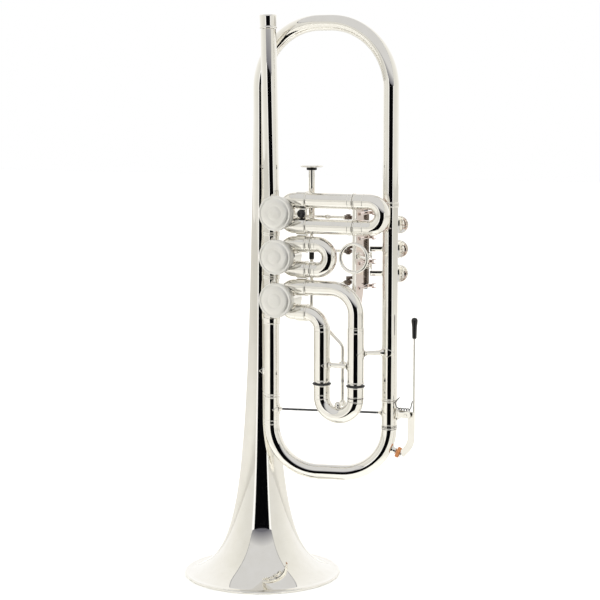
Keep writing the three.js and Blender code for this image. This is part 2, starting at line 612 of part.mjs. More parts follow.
// Trigger rod: thumb disc and plunger above, thin rod with a jog below, ball foot on the third slide
const plungerAt = (z) => v3(trigger.x, trigger.y, z);
const triggerRoute = pipe([
  plungerAt(trigger.plungerLowZ + fit.bite), plungerAt(trigger.jogTopZ),
  v3(trigger.lowX, trigger.lowY, trigger.jogLowZ), v3(trigger.lowX, trigger.lowY, trigger.footZ),
], trigger.bendR, trigger.rodR, 0, facets.rod, 2);
place(root, "trigger_rod", joined([
  triggerRoute,
  rod(plungerAt(trigger.plungerLowZ), plungerAt(trigger.discZ + fit.gap), trigger.plungerR),
  turnedUp([
    [0, trigger.discZ - trigger.neckHigh], [trigger.plungerR, trigger.discZ - trigger.neckHigh],
    [trigger.neckR, trigger.discZ - fit.gap], [trigger.discR, trigger.discZ],
    [trigger.discR, trigger.discZ + trigger.discThick], [0, trigger.discZ + trigger.discThick],
  ], facets.casing).translate([trigger.x, trigger.y, 0]),
  ball(v3(trigger.lowX, trigger.lowY, trigger.footZ), trigger.ballR),
]), silver);

// Main tuning slide: its plane slants from the leadpipe line to the return tube
const span = { x: returnTube.x - line.x, y: -line.y };
const mainHalf = Math.hypot(span.x, span.y) / 2;
const mainTurn = Math.atan2(span.y, span.x);
const mainGroup = new THREE.Group();
mainGroup.position.set((line.x + returnTube.x) / 2, line.y / 2, 0);
mainGroup.rotation.z = mainTurn;
root.add(mainGroup);
const drainAngle = Math.asin(waterKey.drainShare);
const drainOut = (far) => {
  const out = mainSlide.bendR + far;
  const across = mainHalf - mainSlide.bendR + out * Math.cos(drainAngle);
  return v3(-mainSlide.bowStartZ + out * Math.sin(drainAngle), 0, across);
};
const nippleEnd = tubing.sleeveR + waterKey.nippleLong;
const mainStayZ = mainSlide.bowStartZ + mainSlide.stayRise;
const mainBody = slideSolid({
  legStart: -mainSlide.legTopZ, shoulder: -mainSlide.shoulderZ, bowStart: -mainSlide.bowStartZ,
  half: mainHalf, bendR: mainSlide.bendR, rings: [mainSlide.ringDrop - mainSlide.bowStartZ - tubing.ringWide],
  extras: [
    rod(v3(-mainStayZ, 0, -mainHalf), v3(-mainStayZ, 0, mainHalf), mainSlide.stayR),
    rod(drainOut(0), drainOut(nippleEnd), waterKey.nippleR),
  ],
});
const mainMesh = place(mainGroup, "main_tuning_slide",
  cutBy(mainBody, [rod(drainOut(0), drainOut(nippleEnd + fit.overrun), waterKey.nippleBoreR)]), silver);
mainMesh.rotation.copy(slideDown);

// Water key: saddle on the slide's right leg, lever with a thumb arm above and a cork arm below
const legFace = returnTube.x + tubing.sleeveR + fit.gap;
const earInner = waterKey.hubHalf + fit.gap;
const pivot = v3(waterKey.pivotX, 0, waterKey.pivotZ);
const saddle = [slab(
  v3(legFace - tubing.sleeveR / 2, -earInner - waterKey.earThick, waterKey.pivotZ - waterKey.padHigh / 2),
  v3(legFace + waterKey.padThick, earInner + waterKey.earThick, waterKey.pivotZ + waterKey.padHigh / 2),
)];
for (const side of [-1, 1]) {
  const [low, high] = [side * earInner, side * (earInner + waterKey.earThick)].sort((a, b) => a - b);
  saddle.push(slab(v3(legFace, low, pivot.z - waterKey.earR), v3(pivot.x, high, pivot.z + waterKey.earR)));
  saddle.push(rod(v3(pivot.x, low, pivot.z), v3(pivot.x, high, pivot.z), waterKey.earR));
}
const pinEnd = earInner + waterKey.earThick + waterKey.pinR / 2;
saddle.push(rod(v3(pivot.x, -pinEnd, pivot.z), v3(pivot.x, pinEnd, pivot.z), waterKey.pinR));
const legCut = rod(
  v3(returnTube.x, 0, pivot.z - waterKey.padHigh), v3(returnTube.x, 0, pivot.z + waterKey.padHigh),
  around(tubing.ringR + fit.gap, facets.tube), facets.tube,
);
place(root, "water_key_saddle", cutBy(joined(saddle), [legCut]), silver);

const mainToWorld = (p) => {
  const turned90 = v3(p.z, p.y, -p.x);
  return turned90.applyAxisAngle(v3(0, 0, 1), mainTurn).add(v3((line.x + returnTube.x) / 2, line.y / 2, 0));
};
const drainEnd = mainToWorld(drainOut(nippleEnd));
const corkNear = mainToWorld(drainOut(nippleEnd + fit.gap));
const corkFar = mainToWorld(drainOut(nippleEnd + fit.gap + waterKey.corkThick));
const cupNear = mainToWorld(drainOut(nippleEnd + 2 * fit.gap + waterKey.corkThick));
const cupFar = mainToWorld(drainOut(nippleEnd + 2 * fit.gap + waterKey.corkThick + waterKey.cupThick));
const tipAt = (drop) => v3(waterKey.thumbX, 0, waterKey.thumbTopZ - drop);
place(root, "water_key_cork", rod(corkNear, corkFar, waterKey.corkR), corkBrown);
const keyArm = pipe([
  tipAt(waterKey.tipR), v3(waterKey.thumbX, 0, waterKey.pivotZ + waterKey.padHigh),
  v3(waterKey.kneeX, 0, waterKey.pivotZ),
], waterKey.hubR, waterKey.armThick / 2 + fit.gap, 0, facets.rod, 2);
// The arm below the pivot is a flat plate that bends to the cork's cup.
const plateRoute = routed([
  v3(waterKey.kneeX, 0, waterKey.pivotZ + waterKey.hubR), v3(waterKey.kneeX, 0, waterKey.kneeLowZ),
  v3(cupFar.x, 0, cupFar.z),
], waterKey.armBend, facets.bend).stations;
const plateEdge = (side) => plateRoute.map(({ point, tangent }) => new THREE.Vector2(
  point.x + side * tangent.z * (waterKey.armWide / 2), point.z - side * tangent.x * (waterKey.armWide / 2),
));
const plateShape = new THREE.Shape([...plateEdge(1), ...plateEdge(-1).reverse()]);
const keyPlate = solidOf(
  new THREE.ExtrudeGeometry(plateShape, { depth: waterKey.armThick, bevelEnabled: false })
    .rotateX(Math.PI / 2).translate(0, waterKey.armThick / 2, 0),
);
const keyHub = alongY(pivot.x, pivot.z, -waterKey.hubHalf, waterKey.hubHalf, waterKey.hubR);
place(root, "water_key", cutBy(joined([
  keyArm, keyPlate, keyHub,
  rod(cupNear, cupFar, waterKey.cupR),
  rod(tipAt(waterKey.tipLong), tipAt(0), waterKey.tipR),
]), [
  alongY(pivot.x, pivot.z, -pinEnd, pinEnd, waterKey.pinR + fit.gap),
  rod(drainEnd, cupNear, waterKey.corkR + fit.gap),
]), silver);

// Stays: a bar with a flange at each end, cut to the tubes that it joins
function stayBetween(name, a, b, z, radiusA, radiusB) {
  const [from, to] = [v3(a.x, a.y, z), v3(b.x, b.y, z)];
  const way = to.clone().sub(from).normalize();
  const at = (point, far) => point.clone().addScaledVector(way, far);
  const body = joined([
    rod(from, to, stay.r),
    rod(from, at(from, radiusA + fit.gap + stay.flangeThick), stay.flangeR),
    rod(at(to, -radiusB - fit.gap - stay.flangeThick), to, stay.flangeR),
  ]);
  const column = (point, radius) => rod(
    v3(point.x, point.y, z - 2 * stay.flangeR), v3(point.x, point.y, z + 2 * stay.flangeR),
    around(radius + fit.gap, facets.casing), facets.casing,
  );
  const behind = (point, sign) => {
    const geometry = new THREE.BoxGeometry(2 * stay.flangeR, 4 * stay.flangeR, 4 * stay.flangeR);
    geometry.rotateZ(Math.atan2(way.y, way.x));
    const centre = at(point, sign * stay.flangeR);
    geometry.translate(centre.x, centre.y, centre.z);
    return solidOf(geometry);
  };
  const cuts = [column(from, radiusA), column(to, radiusB), behind(from, -1), behind(to, 1)];
  place(root, name, cutBy(body, cuts), silver);
}
const leadpipeX = (z) => line.x - leadpipe.lean * ((z - lineTopZ) / leadpipeLong);
const bellAxis = { x: 0, y: 0 };
stayBetween(
  "leadpipe_stay", bellAxis, { x: leadpipeX(stay.upperZ), y: line.y }, stay.upperZ,
  bellRadiusAt(stay.upperZ - stay.flangeR), leadpipe.r,
);
stayBetween(
  "bell_stay", bellAxis, line, stay.lowerZ, bellRadiusAt(stay.lowerZ - stay.flangeR), tubing.sleeveR,
);
stayBetween(
  "return_stay", { x: thirdSlide.rightX, y: line.y }, { x: returnTube.x, y: 0 }, stay.returnZ,
  thirdSlide.lowR, returnTube.r,
);

// Lever carrier: an upright bar with four lugs for the axle, stayed to the return tube
const hubLow = (i) => axle.topZ - carrier.lugThick - axle.pitch * (i + 1) + carrier.lugThick + fit.gap;
const hubHigh = (i) => axle.topZ - carrier.lugThick - axle.pitch * i - fit.gap;
const carrierAt = (z) => v3(carrier.x, carrier.y, z);
const axleAt = (z) => v3(axle.x, axle.y, z);
const barSide = carrier.wide / 2;
const barShape = new THREE.Shape([
  new THREE.Vector2(carrier.frontY, carrier.highZ), new THREE.Vector2(carrier.frontY, carrier.lowZ + carrier.pointHigh),
  new THREE.Vector2((carrier.frontY + 3 * carrier.backY) / 4, carrier.lowZ),
  new THREE.Vector2(carrier.backY, carrier.lowZ + carrier.pointHigh), new THREE.Vector2(carrier.backY, carrier.highZ),
]);
const carrierParts = [solidOf(
  new THREE.ExtrudeGeometry(barShape, { depth: carrier.wide, bevelEnabled: false })
    .rotateX(Math.PI / 2).rotateZ(Math.PI / 2).translate(carrier.x - barSide, 0, 0),
)];
for (let i = 0; i <= valve.count; i += 1) {
  const high = axle.topZ - axle.pitch * i;
  const middle = high - carrier.lugThick / 2;
  carrierParts.push(flatBar(carrierAt(middle), axleAt(middle), carrier.lugWide, carrier.lugThick));
  carrierParts.push(rod(axleAt(high - carrier.lugThick), axleAt(high), carrier.lugR));
}
for (const z of [carrier.stayZ, carrier.topStayZ]) {
  const [from, to] = [carrierAt(z), v3(returnTube.x, 0, z)];
  const way = to.clone().sub(from).normalize();
  const reach = returnTube.r + fit.gap + stay.flangeThick + tubing.collarWall;
  carrierParts.push(rod(from, to, stay.r));
  carrierParts.push(rod(to.clone().addScaledVector(way, -reach), to, stay.flangeR));
}
const carrierCuts = [
  rod(v3(returnTube.x, 0, carrier.lowZ), v3(returnTube.x, 0, returnTube.ferruleLow - tubing.ringWide),
    around(returnTube.r + fit.gap, facets.casing), facets.casing),
  rod(
    v3(returnTube.x, 0, returnTube.ferruleLow - 2 * fit.overrun),
    v3(returnTube.x, 0, carrier.highZ + carrier.wide),
    around(bell.stemR + 2 * fit.gap + tubing.collarWall, facets.casing), facets.casing,
  ),
  slab(
    v3(returnTube.x, -2 * stay.flangeR, carrier.lowZ),
    v3(returnTube.x + 2 * stay.flangeR, 2 * stay.flangeR, carrier.highZ + carrier.wide),
  ),
  rod(axleAt(carrier.lowZ), axleAt(carrier.highZ), lever.boreR),
];
place(root, "lever_carrier", cutBy(joined(carrierParts), carrierCuts), silver);
const axleLowZ = axle.topZ - axle.pitch * valve.count - carrier.lugThick - axle.r;
place(root, "lever_axle", rod(axleAt(axleLowZ), axleAt(axle.topZ + axle.r), axle.r), steel);

// How far a link moves when its lever is pressed, and the pin radius that turns the rotor a quarter
function linkStroke() {
  const restArm = v3(lever.ballX - axle.x, lever.ballY - axle.y, 0);
  const pressedBall = restArm.applyAxisAngle(v3(0, 0, 1), -radians(lever.press)).add(v3(axle.x, axle.y, 0));
  // The pin radius and the link's length depend on each other, so both are found by a few repeats.
  let pinR = lever.hubR;
  for (let i = 0; i < 12; i += 1) {
    const pinRestX = valve.x + pinR * Math.SQRT1_2;
    const long = Math.hypot(lever.ballX - pinRestX, lever.ballY - link.endY);
    const pinPressedX = pressedBall.x - Math.sqrt(long ** 2 - (pressedBall.y - link.endY) ** 2);
    pinR = (pinRestX - pinPressedX) * Math.SQRT1_2;
  }
  return { pinR };
}

for (let i = 0; i < valve.count; i += 1) {
  const number = i + 1;
  const ballZ = lever.ballZ[i];
  const barZ = ballZ + lever.barSide[i] * lever.barRise;
  const plateZ = (hubLow(i) + hubHigh(i)) / 2;
  const [centre, plate] = [axleAt(plateZ), v3(lever.plateX, lever.plateY, plateZ)];
  const facing = plate.clone().sub(centre).normalize().applyAxisAngle(v3(0, 0, 1), Math.PI / 2);
  const plateAt = (far) => plate.clone().addScaledVector(facing, far);
  const headNear = ballZ - lever.barSide[i] * (link.eyeThick / 2 + fit.gap);
  const pinTip = headNear - lever.barSide[i] * lever.pinHeadThick;
  const ballAt = (z) => v3(lever.ballX, lever.ballY, z);
  const leverParts = [
    rod(axleAt(hubLow(i)), axleAt(hubHigh(i)), lever.hubR, facets.tube),
    flatBar(centre, plate, lever.armThick, lever.armWide),
    rod(
      plateAt(-lever.armThick / 2), plateAt(lever.armThick / 2 + lever.plateThick), lever.plateR, facets.tube,
    ),
    flatBar(axleAt(barZ), ballAt(barZ), lever.barWide, lever.barThick),
    rod(ballAt(barZ - lever.barThick / 2), ballAt(barZ + lever.barThick / 2), lever.barWide / 2),
    rod(ballAt(barZ), ballAt(pinTip), lever.pinR),
    rod(ballAt(headNear), ballAt(pinTip), lever.pinHeadR),
  ];
  const axleBore = rod(axleAt(carrier.lowZ), axleAt(carrier.highZ), lever.boreR);
  place(root, `lever_${number}`, cutBy(joined(leverParts), [axleBore]), silver);

  // Return spring: one wire wound round the hub
  const coilR = lever.hubR + spring.clear + spring.wireR;
  const overBar = barZ + lever.barThick / 2 + 2 * spring.lift + lever.armWide;
  const coilLow = i === 2 ? overBar : hubLow(i) + spring.lift;
  const turnSteps = Math.round(spring.turns * spring.steps);
  const stations = [];
  for (let step = 0; step <= turnSteps; step += 1) {
    const angle = (2 * Math.PI * step) / spring.steps;
    const rise = spring.pitch / (2 * Math.PI);
    stations.push({
      point: v3(axle.x + coilR * Math.cos(angle), axle.y + coilR * Math.sin(angle), coilLow + rise * angle),
      tangent: v3(-coilR * Math.sin(angle), coilR * Math.cos(angle), rise).normalize(),
    });
  }
  const wire = new THREE.Shape();
  for (let side = 0; side < spring.sides; side += 1) {
    const angle = (2 * Math.PI * side) / spring.sides;
    const [x, y] = [spring.wireR * Math.cos(angle), spring.wireR * Math.sin(angle)];
    if (side === 0) wire.moveTo(x, y);
    else wire.lineTo(x, y);
  }
  place(root, `lever_spring_${number}`, solidOf(new THREE.ExtrudeGeometry(wire, {
    steps: turnSteps, extrudePath: new StationPath(stations),
  })), steel);

  // Link: an eye on the lever's pin, a rod, and a button that faces the stop arm's stud
  const endZ = valve.z(i) + valve.mirror(i) * linkPinR * Math.SQRT1_2;
  const end = v3(valve.x + linkPinR * Math.SQRT1_2, link.endY, endZ);
  const eye = rod(ballAt(ballZ - link.eyeThick / 2), ballAt(ballZ + link.eyeThick / 2), link.eyeR);
  const linkBody = joined([
    eye,
    rod(ballAt(ballZ), end, link.rodR),
    alongY(end.x, end.z, end.y - link.buttonThick / 2, end.y + link.buttonThick / 2, link.buttonR),
  ]);
  place(root, `link_${number}`, cutBy(linkBody, [
    rod(ballAt(ballZ - link.eyeThick), ballAt(ballZ + link.eyeThick), link.eyeBoreR),
  ]), silver);
}

// Finger ring in front of the slides, on a strut from the carrier
const ringGeometry = new THREE.TorusGeometry(fingerRing.r, fingerRing.wireR, 6, facets.casing);
ringGeometry.rotateX(Math.PI / 2);
ringGeometry.translate(fingerRing.x, fingerRing.y, fingerRing.z);
const ringEdge = v3(fingerRing.x + fingerRing.r, fingerRing.y, fingerRing.z);
place(root, "finger_ring", cutBy(joined([
  solidOf(ringGeometry), rod(ringEdge, carrierAt(fingerRing.z), fingerRing.strutR),
]), [slab(
  v3(carrier.x - barSide - fingerRing.strutR - fit.gap, carrier.frontY - fit.gap, carrier.lowZ),
  v3(carrier.x + barSide + fit.gap, carrier.backY, carrier.highZ),
)]), silver);

// The part's frame: origin under the middle of its box, at the height of the bell rim
root.updateMatrixWorld(true);
const box = new THREE.Box3().setFromObject(root);
root.position.set(-(box.min.x + box.max.x) / 2, -(box.min.y + box.max.y) / 2, -box.min.z);

export default root;
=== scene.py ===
"""A rotary valve trumpet in silver plate, standing on its bell on a white table.

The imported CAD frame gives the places. Here each tube, valve, slide and lever gets its smooth
skin and its finish. Lengths are in millimetres, measured from the bell axis at the rim, until
the bench puts a mesh in place.
"""

import logging
import math
from collections.abc import Callable
from dataclasses import dataclass, field
from enum import Enum

import bmesh
import bpy
from mathutils import Matrix, Vector


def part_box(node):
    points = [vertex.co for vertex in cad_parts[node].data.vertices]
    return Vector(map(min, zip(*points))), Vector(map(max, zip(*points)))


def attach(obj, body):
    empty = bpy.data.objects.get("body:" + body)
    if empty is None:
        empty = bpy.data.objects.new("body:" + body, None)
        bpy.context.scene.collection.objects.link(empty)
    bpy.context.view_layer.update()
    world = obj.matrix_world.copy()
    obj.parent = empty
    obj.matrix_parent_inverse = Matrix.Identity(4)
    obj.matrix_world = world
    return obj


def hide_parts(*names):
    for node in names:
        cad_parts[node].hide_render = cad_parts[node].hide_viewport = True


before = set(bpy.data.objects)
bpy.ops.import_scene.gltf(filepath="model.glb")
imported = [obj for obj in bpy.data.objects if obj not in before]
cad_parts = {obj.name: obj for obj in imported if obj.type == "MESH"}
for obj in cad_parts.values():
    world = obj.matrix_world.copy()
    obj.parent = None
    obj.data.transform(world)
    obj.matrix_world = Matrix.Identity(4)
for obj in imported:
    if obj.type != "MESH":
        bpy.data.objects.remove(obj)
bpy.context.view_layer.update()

log = logging.getLogger("trumpet")

MM = 0.001
FULL_TURN = 2 * math.pi
TINY = 1e-6
X, Y, Z = Vector((1, 0, 0)), Vector((0, 1, 0)), Vector((0, 0, 1))

# A Mix node repeats its socket names for each type of value, so its colour sockets go by number.
MIX_A, MIX_B, MIX_COLOUR = 6, 7, 2

# Distances along a route, each with the radius there.
Outline = list[tuple[float, float]]

# A run of a route: where it starts, its length, and what gives the place and the direction in it.
Run = tuple[float, float, Callable[[float], tuple[Vector, Vector]]]


def srgb(hex_colour: str) -> tuple[float, float, float, float]:
    """Turn an sRGB hex colour to linear light.

    Args:
        hex_colour: Six hex digits, such as "f4f1ea".

    Returns:
        Linear red, green and blue, and an alpha of 1.
    """
    shares = (int(hex_colour[i : i + 2], 16) / 255 for i in (0, 2, 4))
    linear = (c / 12.92 if c <= 0.04045 else ((c + 0.055) / 1.055) ** 2.4 for c in shares)
    return (*linear, 1.0)


def add_node(
    tree: bpy.types.NodeTree,
    kind: str,
    settings: dict[str | int, object] | None = None,
    **links: bpy.types.NodeSocket,
) -> bpy.types.Node:
    """Add a shader node with its settings and what feeds it.

    Args:
        tree: The node tree that gets the node.
        kind: Blender's name for the node type.
        settings: Values by the name of a node property, or by an input socket's name or number.
        links: Output sockets by input name, with underscores for spaces.

    Returns:
        The new node.
    """
    node = tree.nodes.new(kind)
    for name, value in (settings or {}).items():
        if isinstance(name, str) and hasattr(node, name):
            setattr(node, name, value)
        else:
            node.inputs[name].default_value = value
    for name, socket in links.items():
        tree.links.new(socket, node.inputs[name.replace("_", " ")])
    return node


class Finish:
    """What every finish shares: a material with a Principled shader, made once."""

    label: str
    light: str
    shade: str

    def material(self) -> bpy.types.Material:
        """Give the finish's material, and make it at the first call.

        Returns:
            The one material that all pieces of this finish share.
        """
        found = bpy.data.materials.get(self.label)
        if found:
            return found
        made = bpy.data.materials.new(self.label)
        made.use_nodes = True
        shader = made.node_tree.nodes["Principled BSDF"]
        self.dress(made.node_tree, shader)
        return made

    def dress(self, tree: bpy.types.NodeTree, shader: bpy.types.Node) -> None:
        """Set the shader and feed its patterns."""
        raise NotImplementedError

    def tone(
        self,
        tree: bpy.types.NodeTree,
        shader: bpy.types.Node,
        pattern: bpy.types.NodeSocket,
        gloss: dict[str | int, object],
        haze: bpy.types.NodeSocket | None = None,
    ) -> None:
        """Mix the light and the shade by a pattern, and let the roughness come and go with it.

        Args:
            tree: The material's node tree.
            shader: Its Principled shader.
            pattern: What mixes the two colours.
            gloss: The range of the roughness, and of its pattern where that isn't 0 to 1.
            haze: What the roughness follows, where that isn't the same pattern.
        """
        colours = {"data_type": "RGBA", MIX_A: srgb(self.light), MIX_B: srgb(self.shade)}
        tint = add_node(tree, "ShaderNodeMix", colours, Factor=pattern)
        rough = add_node(tree, "ShaderNodeMapRange", gloss, Value=pattern if haze is None else haze)
        tree.links.new(tint.outputs[MIX_COLOUR], shader.inputs["Base Color"])
        tree.links.new(rough.outputs["Result"], shader.inputs["Roughness"])


def pattern_scale(size_mm: float) -> float:
    """Give a texture scale for features of a real size, in a space measured in metres."""
    return 1 / (size_mm * MM)


@dataclass(frozen=True)
class SilverPlate(Finish):
    """Polished silver plate over brass: a clear mirror that is warm in its shade.

    Buffing leaves a haze that comes and goes in patches of some 9 mm, and hairlines of a tenth
    of a millimetre, drawn here at 0.6 mm so that they show at all.
    """

    label: str = "polished_silver_plate"
    light: str = "f7f5f0"
    shade: str = "eeebe3"
    clear: float = 0.02
    hazy: float = 0.045
    patch_mm: float = 9.0
    hairline_mm: float = 0.6
    hairline_share: float = 0.35

    def dress(self, tree: bpy.types.NodeTree, shader: bpy.types.Node) -> None:
        """Mix two silvers by the buffing patches, and let the haze follow them.

        Args:
            tree: The material's node tree.
            shader: Its Principled shader.
        """
        shader.inputs["Metallic"].default_value = 1.0
        place = add_node(tree, "ShaderNodeTexCoord").outputs["Object"]
        patch, hairline = (
            add_node(
                tree, "ShaderNodeTexNoise", {"Scale": pattern_scale(size), "Detail": detail}, Vector=place
            ).outputs["Fac"]
            for size, detail in ((self.patch_mm, 3.0), (self.hairline_mm, 1.0))
        )
        haze = add_node(tree, "ShaderNodeMix", {"Factor": self.hairline_share})
        tree.links.new(patch, haze.inputs[2])
        tree.links.new(hairline, haze.inputs[3])
        gloss = {"From Min": 0.35, "From Max": 0.65, "To Min": self.clear, "To Max": self.hazy}
        self.tone(tree, shader, patch, gloss, haze.outputs[0])


@dataclass(frozen=True)
class FrostedSilver(Finish):
    """Bead-blasted silver plate on the screw caps: pale and even, with no mirror image.

    The blasting pits are 0.08 mm across, drawn at 0.4 mm so that they show as a fine sparkle.
    """

    label: str = "frosted_silver_plate"
    light: str = "faf9f5"
    shade: str = "eeece6"
    pit_mm: float = 0.4
    cloud_mm: float = 7.0
    roughness: float = 0.42
    swing: float = 0.06

    def dress(self, tree: bpy.types.NodeTree, shader: bpy.types.Node) -> None:
        """Pit the surface with a fine bump, and cloud its colour a little.

        Args:
            tree: The material's node tree.
            shader: Its Principled shader.
        """
        shader.inputs["Metallic"].default_value = 1.0
        place = add_node(tree, "ShaderNodeTexCoord").outputs["Object"]
        cloud = add_node(
            tree, "ShaderNodeTexNoise", {"Scale": pattern_scale(self.cloud_mm), "Detail": 4.0}, Vector=place
        ).outputs["Fac"]
        pits = add_node(
            tree, "ShaderNodeTexNoise", {"Scale": pattern_scale(self.pit_mm), "Detail": 2.0}, Vector=place
        ).outputs["Fac"]
        relief = {"Strength": 0.25, "Distance": self.pit_mm * MM}
        bump = add_node(tree, "ShaderNodeBump", relief, Height=pits)
        gloss = {"To Min": self.roughness - self.swing, "To Max": self.roughness + self.swing}
        self.tone(tree, shader, cloud, gloss)
        tree.links.new(bump.outputs["Normal"], shader.inputs["Normal"])


@dataclass(frozen=True)
class TurnedMetal(Finish):
    """Metal off a lathe, left bright: fine lines that run round the piece spread its gloss.

    A tool leaves lines some 0.1 mm apart, drawn at 0.5 mm so that they show.
    """

    label: str = "turned_brass"
    light: str = "d9b878"
    shade: str = "b98f4e"
    line_mm: float = 0.5
    roughness: float = 0.22

    def dress(self, tree: bpy.types.NodeTree, shader: bpy.types.Node) -> None:
        """Band the colour and the gloss with the tool lines.

        Args:
            tree: The material's node tree.
            shader: Its Principled shader.
        """
        shader.inputs["Metallic"].default_value = 1.0
        place = add_node(tree, "ShaderNodeTexCoord").outputs["Object"]
        scale = pattern_scale(self.line_mm) / FULL_TURN
        wave = {"bands_direction": "DIAGONAL", "Scale": scale, "Distortion": 1.5}
        lines = add_node(tree, "ShaderNodeTexWave", wave, Vector=place).outputs["Fac"]
        gloss = {"To Min": self.roughness - 0.05, "To Max": self.roughness + 0.08}
        self.tone(tree, shader, lines, gloss)


@dataclass(frozen=True)
class Cork(Finish):
    """Natural cork: a dull tan with darker pores, each some half a millimetre wide."""

    label: str = "natural_cork"
    light: str = "c88552"
    shade: str = "8a4f2c"
    pore_mm: float = 0.55
    pore_deep_mm: float = 0.2
    roughness: float = 0.85

    def dress(self, tree: bpy.types.NodeTree, shader: bpy.types.Node) -> None:
        """Scatter the pores over the colour and the relief.

        Args:
            tree: The material's node tree.
            shader: Its Principled shader.
        """
        shader.inputs["Roughness"].default_value = self.roughness
        place = add_node(tree, "ShaderNodeTexCoord").outputs["Object"]
        cells = add_node(
            tree, "ShaderNodeTexVoronoi", {"Scale": pattern_scale(self.pore_mm)}, Vector=place
        ).outputs["Distance"]
        ramp = add_node(tree, "ShaderNodeValToRGB", Fac=cells)
        for stop, colour, at in zip(ramp.color_ramp.elements, (self.shade, self.light), (0.1, 0.5)):
            stop.color = srgb(colour)
            stop.position = at
        relief = {"Strength": 0.5, "Distance": self.pore_deep_mm * MM}
        bump = add_node(tree, "ShaderNodeBump", relief, Height=cells)
        tree.links.new(ramp.outputs["Color"], shader.inputs["Base Color"])
        tree.links.new(bump.outputs["Normal"], shader.inputs["Normal"])


@dataclass(frozen=True)
class MouldedBlack(Finish):
    """Moulded black rubber or plastic: near black, its gloss broken by a fine skin grain.

    The grain is 0.2 mm, drawn at 0.5 mm so that it shows.
    """

    label: str = "moulded_black_rubber"
    light: str = "1d1d1f"
    shade: str = "0d0d0e"
    grain_mm: float = 0.5
    grain_deep_mm: float = 0.1
    roughness: float = 0.45
    swing: float = 0.1

    def dress(self, tree: bpy.types.NodeTree, shader: bpy.types.Node) -> None:
        """Grain the colour, the gloss and the relief.

        Args:
            tree: The material's node tree.
            shader: Its Principled shader.
        """
        place = add_node(tree, "ShaderNodeTexCoord").outputs["Object"]
        grain = add_node(
            tree, "ShaderNodeTexNoise", {"Scale": pattern_scale(self.grain_mm), "Detail": 3.0}, Vector=place
        ).outputs["Fac"]
        gloss = {"To Min": self.roughness - self.swing, "To Max": self.roughness + self.swing}
        self.tone(tree, shader, grain, gloss)
        relief = {"Strength": 0.15, "Distance": self.grain_deep_mm * MM}
        bump = add_node(tree, "ShaderNodeBump", relief, Height=grain)
        tree.links.new(bump.outputs["Normal"], shader.inputs["Normal"])


class Coat(Enum):
    """The finishes on this instrument."""

    SILVER = SilverPlate()
    # A pinkish silver, duller than the polished plate, for the lever carrier bar.
    WARM_SILVER = SilverPlate(
        label="pinkish_silver_plate", light="f1e6e1", shade="e3d2ca", clear=0.05, hazy=0.12,
    )
    FROSTED = FrostedSilver()
    BRASS = TurnedMetal()
    STEEL = TurnedMetal(label="ground_steel", light="c9cbce", shade="9ea1a5")
    # A dark brownish grey, for the lever cranks and the link eyes.
    DARK_BROWNISH_GREY = TurnedMetal(label="dark_brownish_grey_steel", light="9a8f87", shade="5e544d")
    # Dark grey. On the main slide's cross rod it is a painted dark reflection, standing in for the tent's
    # dark gap that the silver rod would mirror. On the water key's spring it is the dark steel of the
    # spring.
    DARK_STEEL_AND_PAINTED_REFLECTION = TurnedMetal(label="dark_steel_and_painted_reflection", light="7b7b7d", shade="48484c")
    CORK = Cork()
    RUBBER = MouldedBlack()
    BLACK_PLASTIC = MouldedBlack(label="moulded_black_plastic", roughness=0.25)


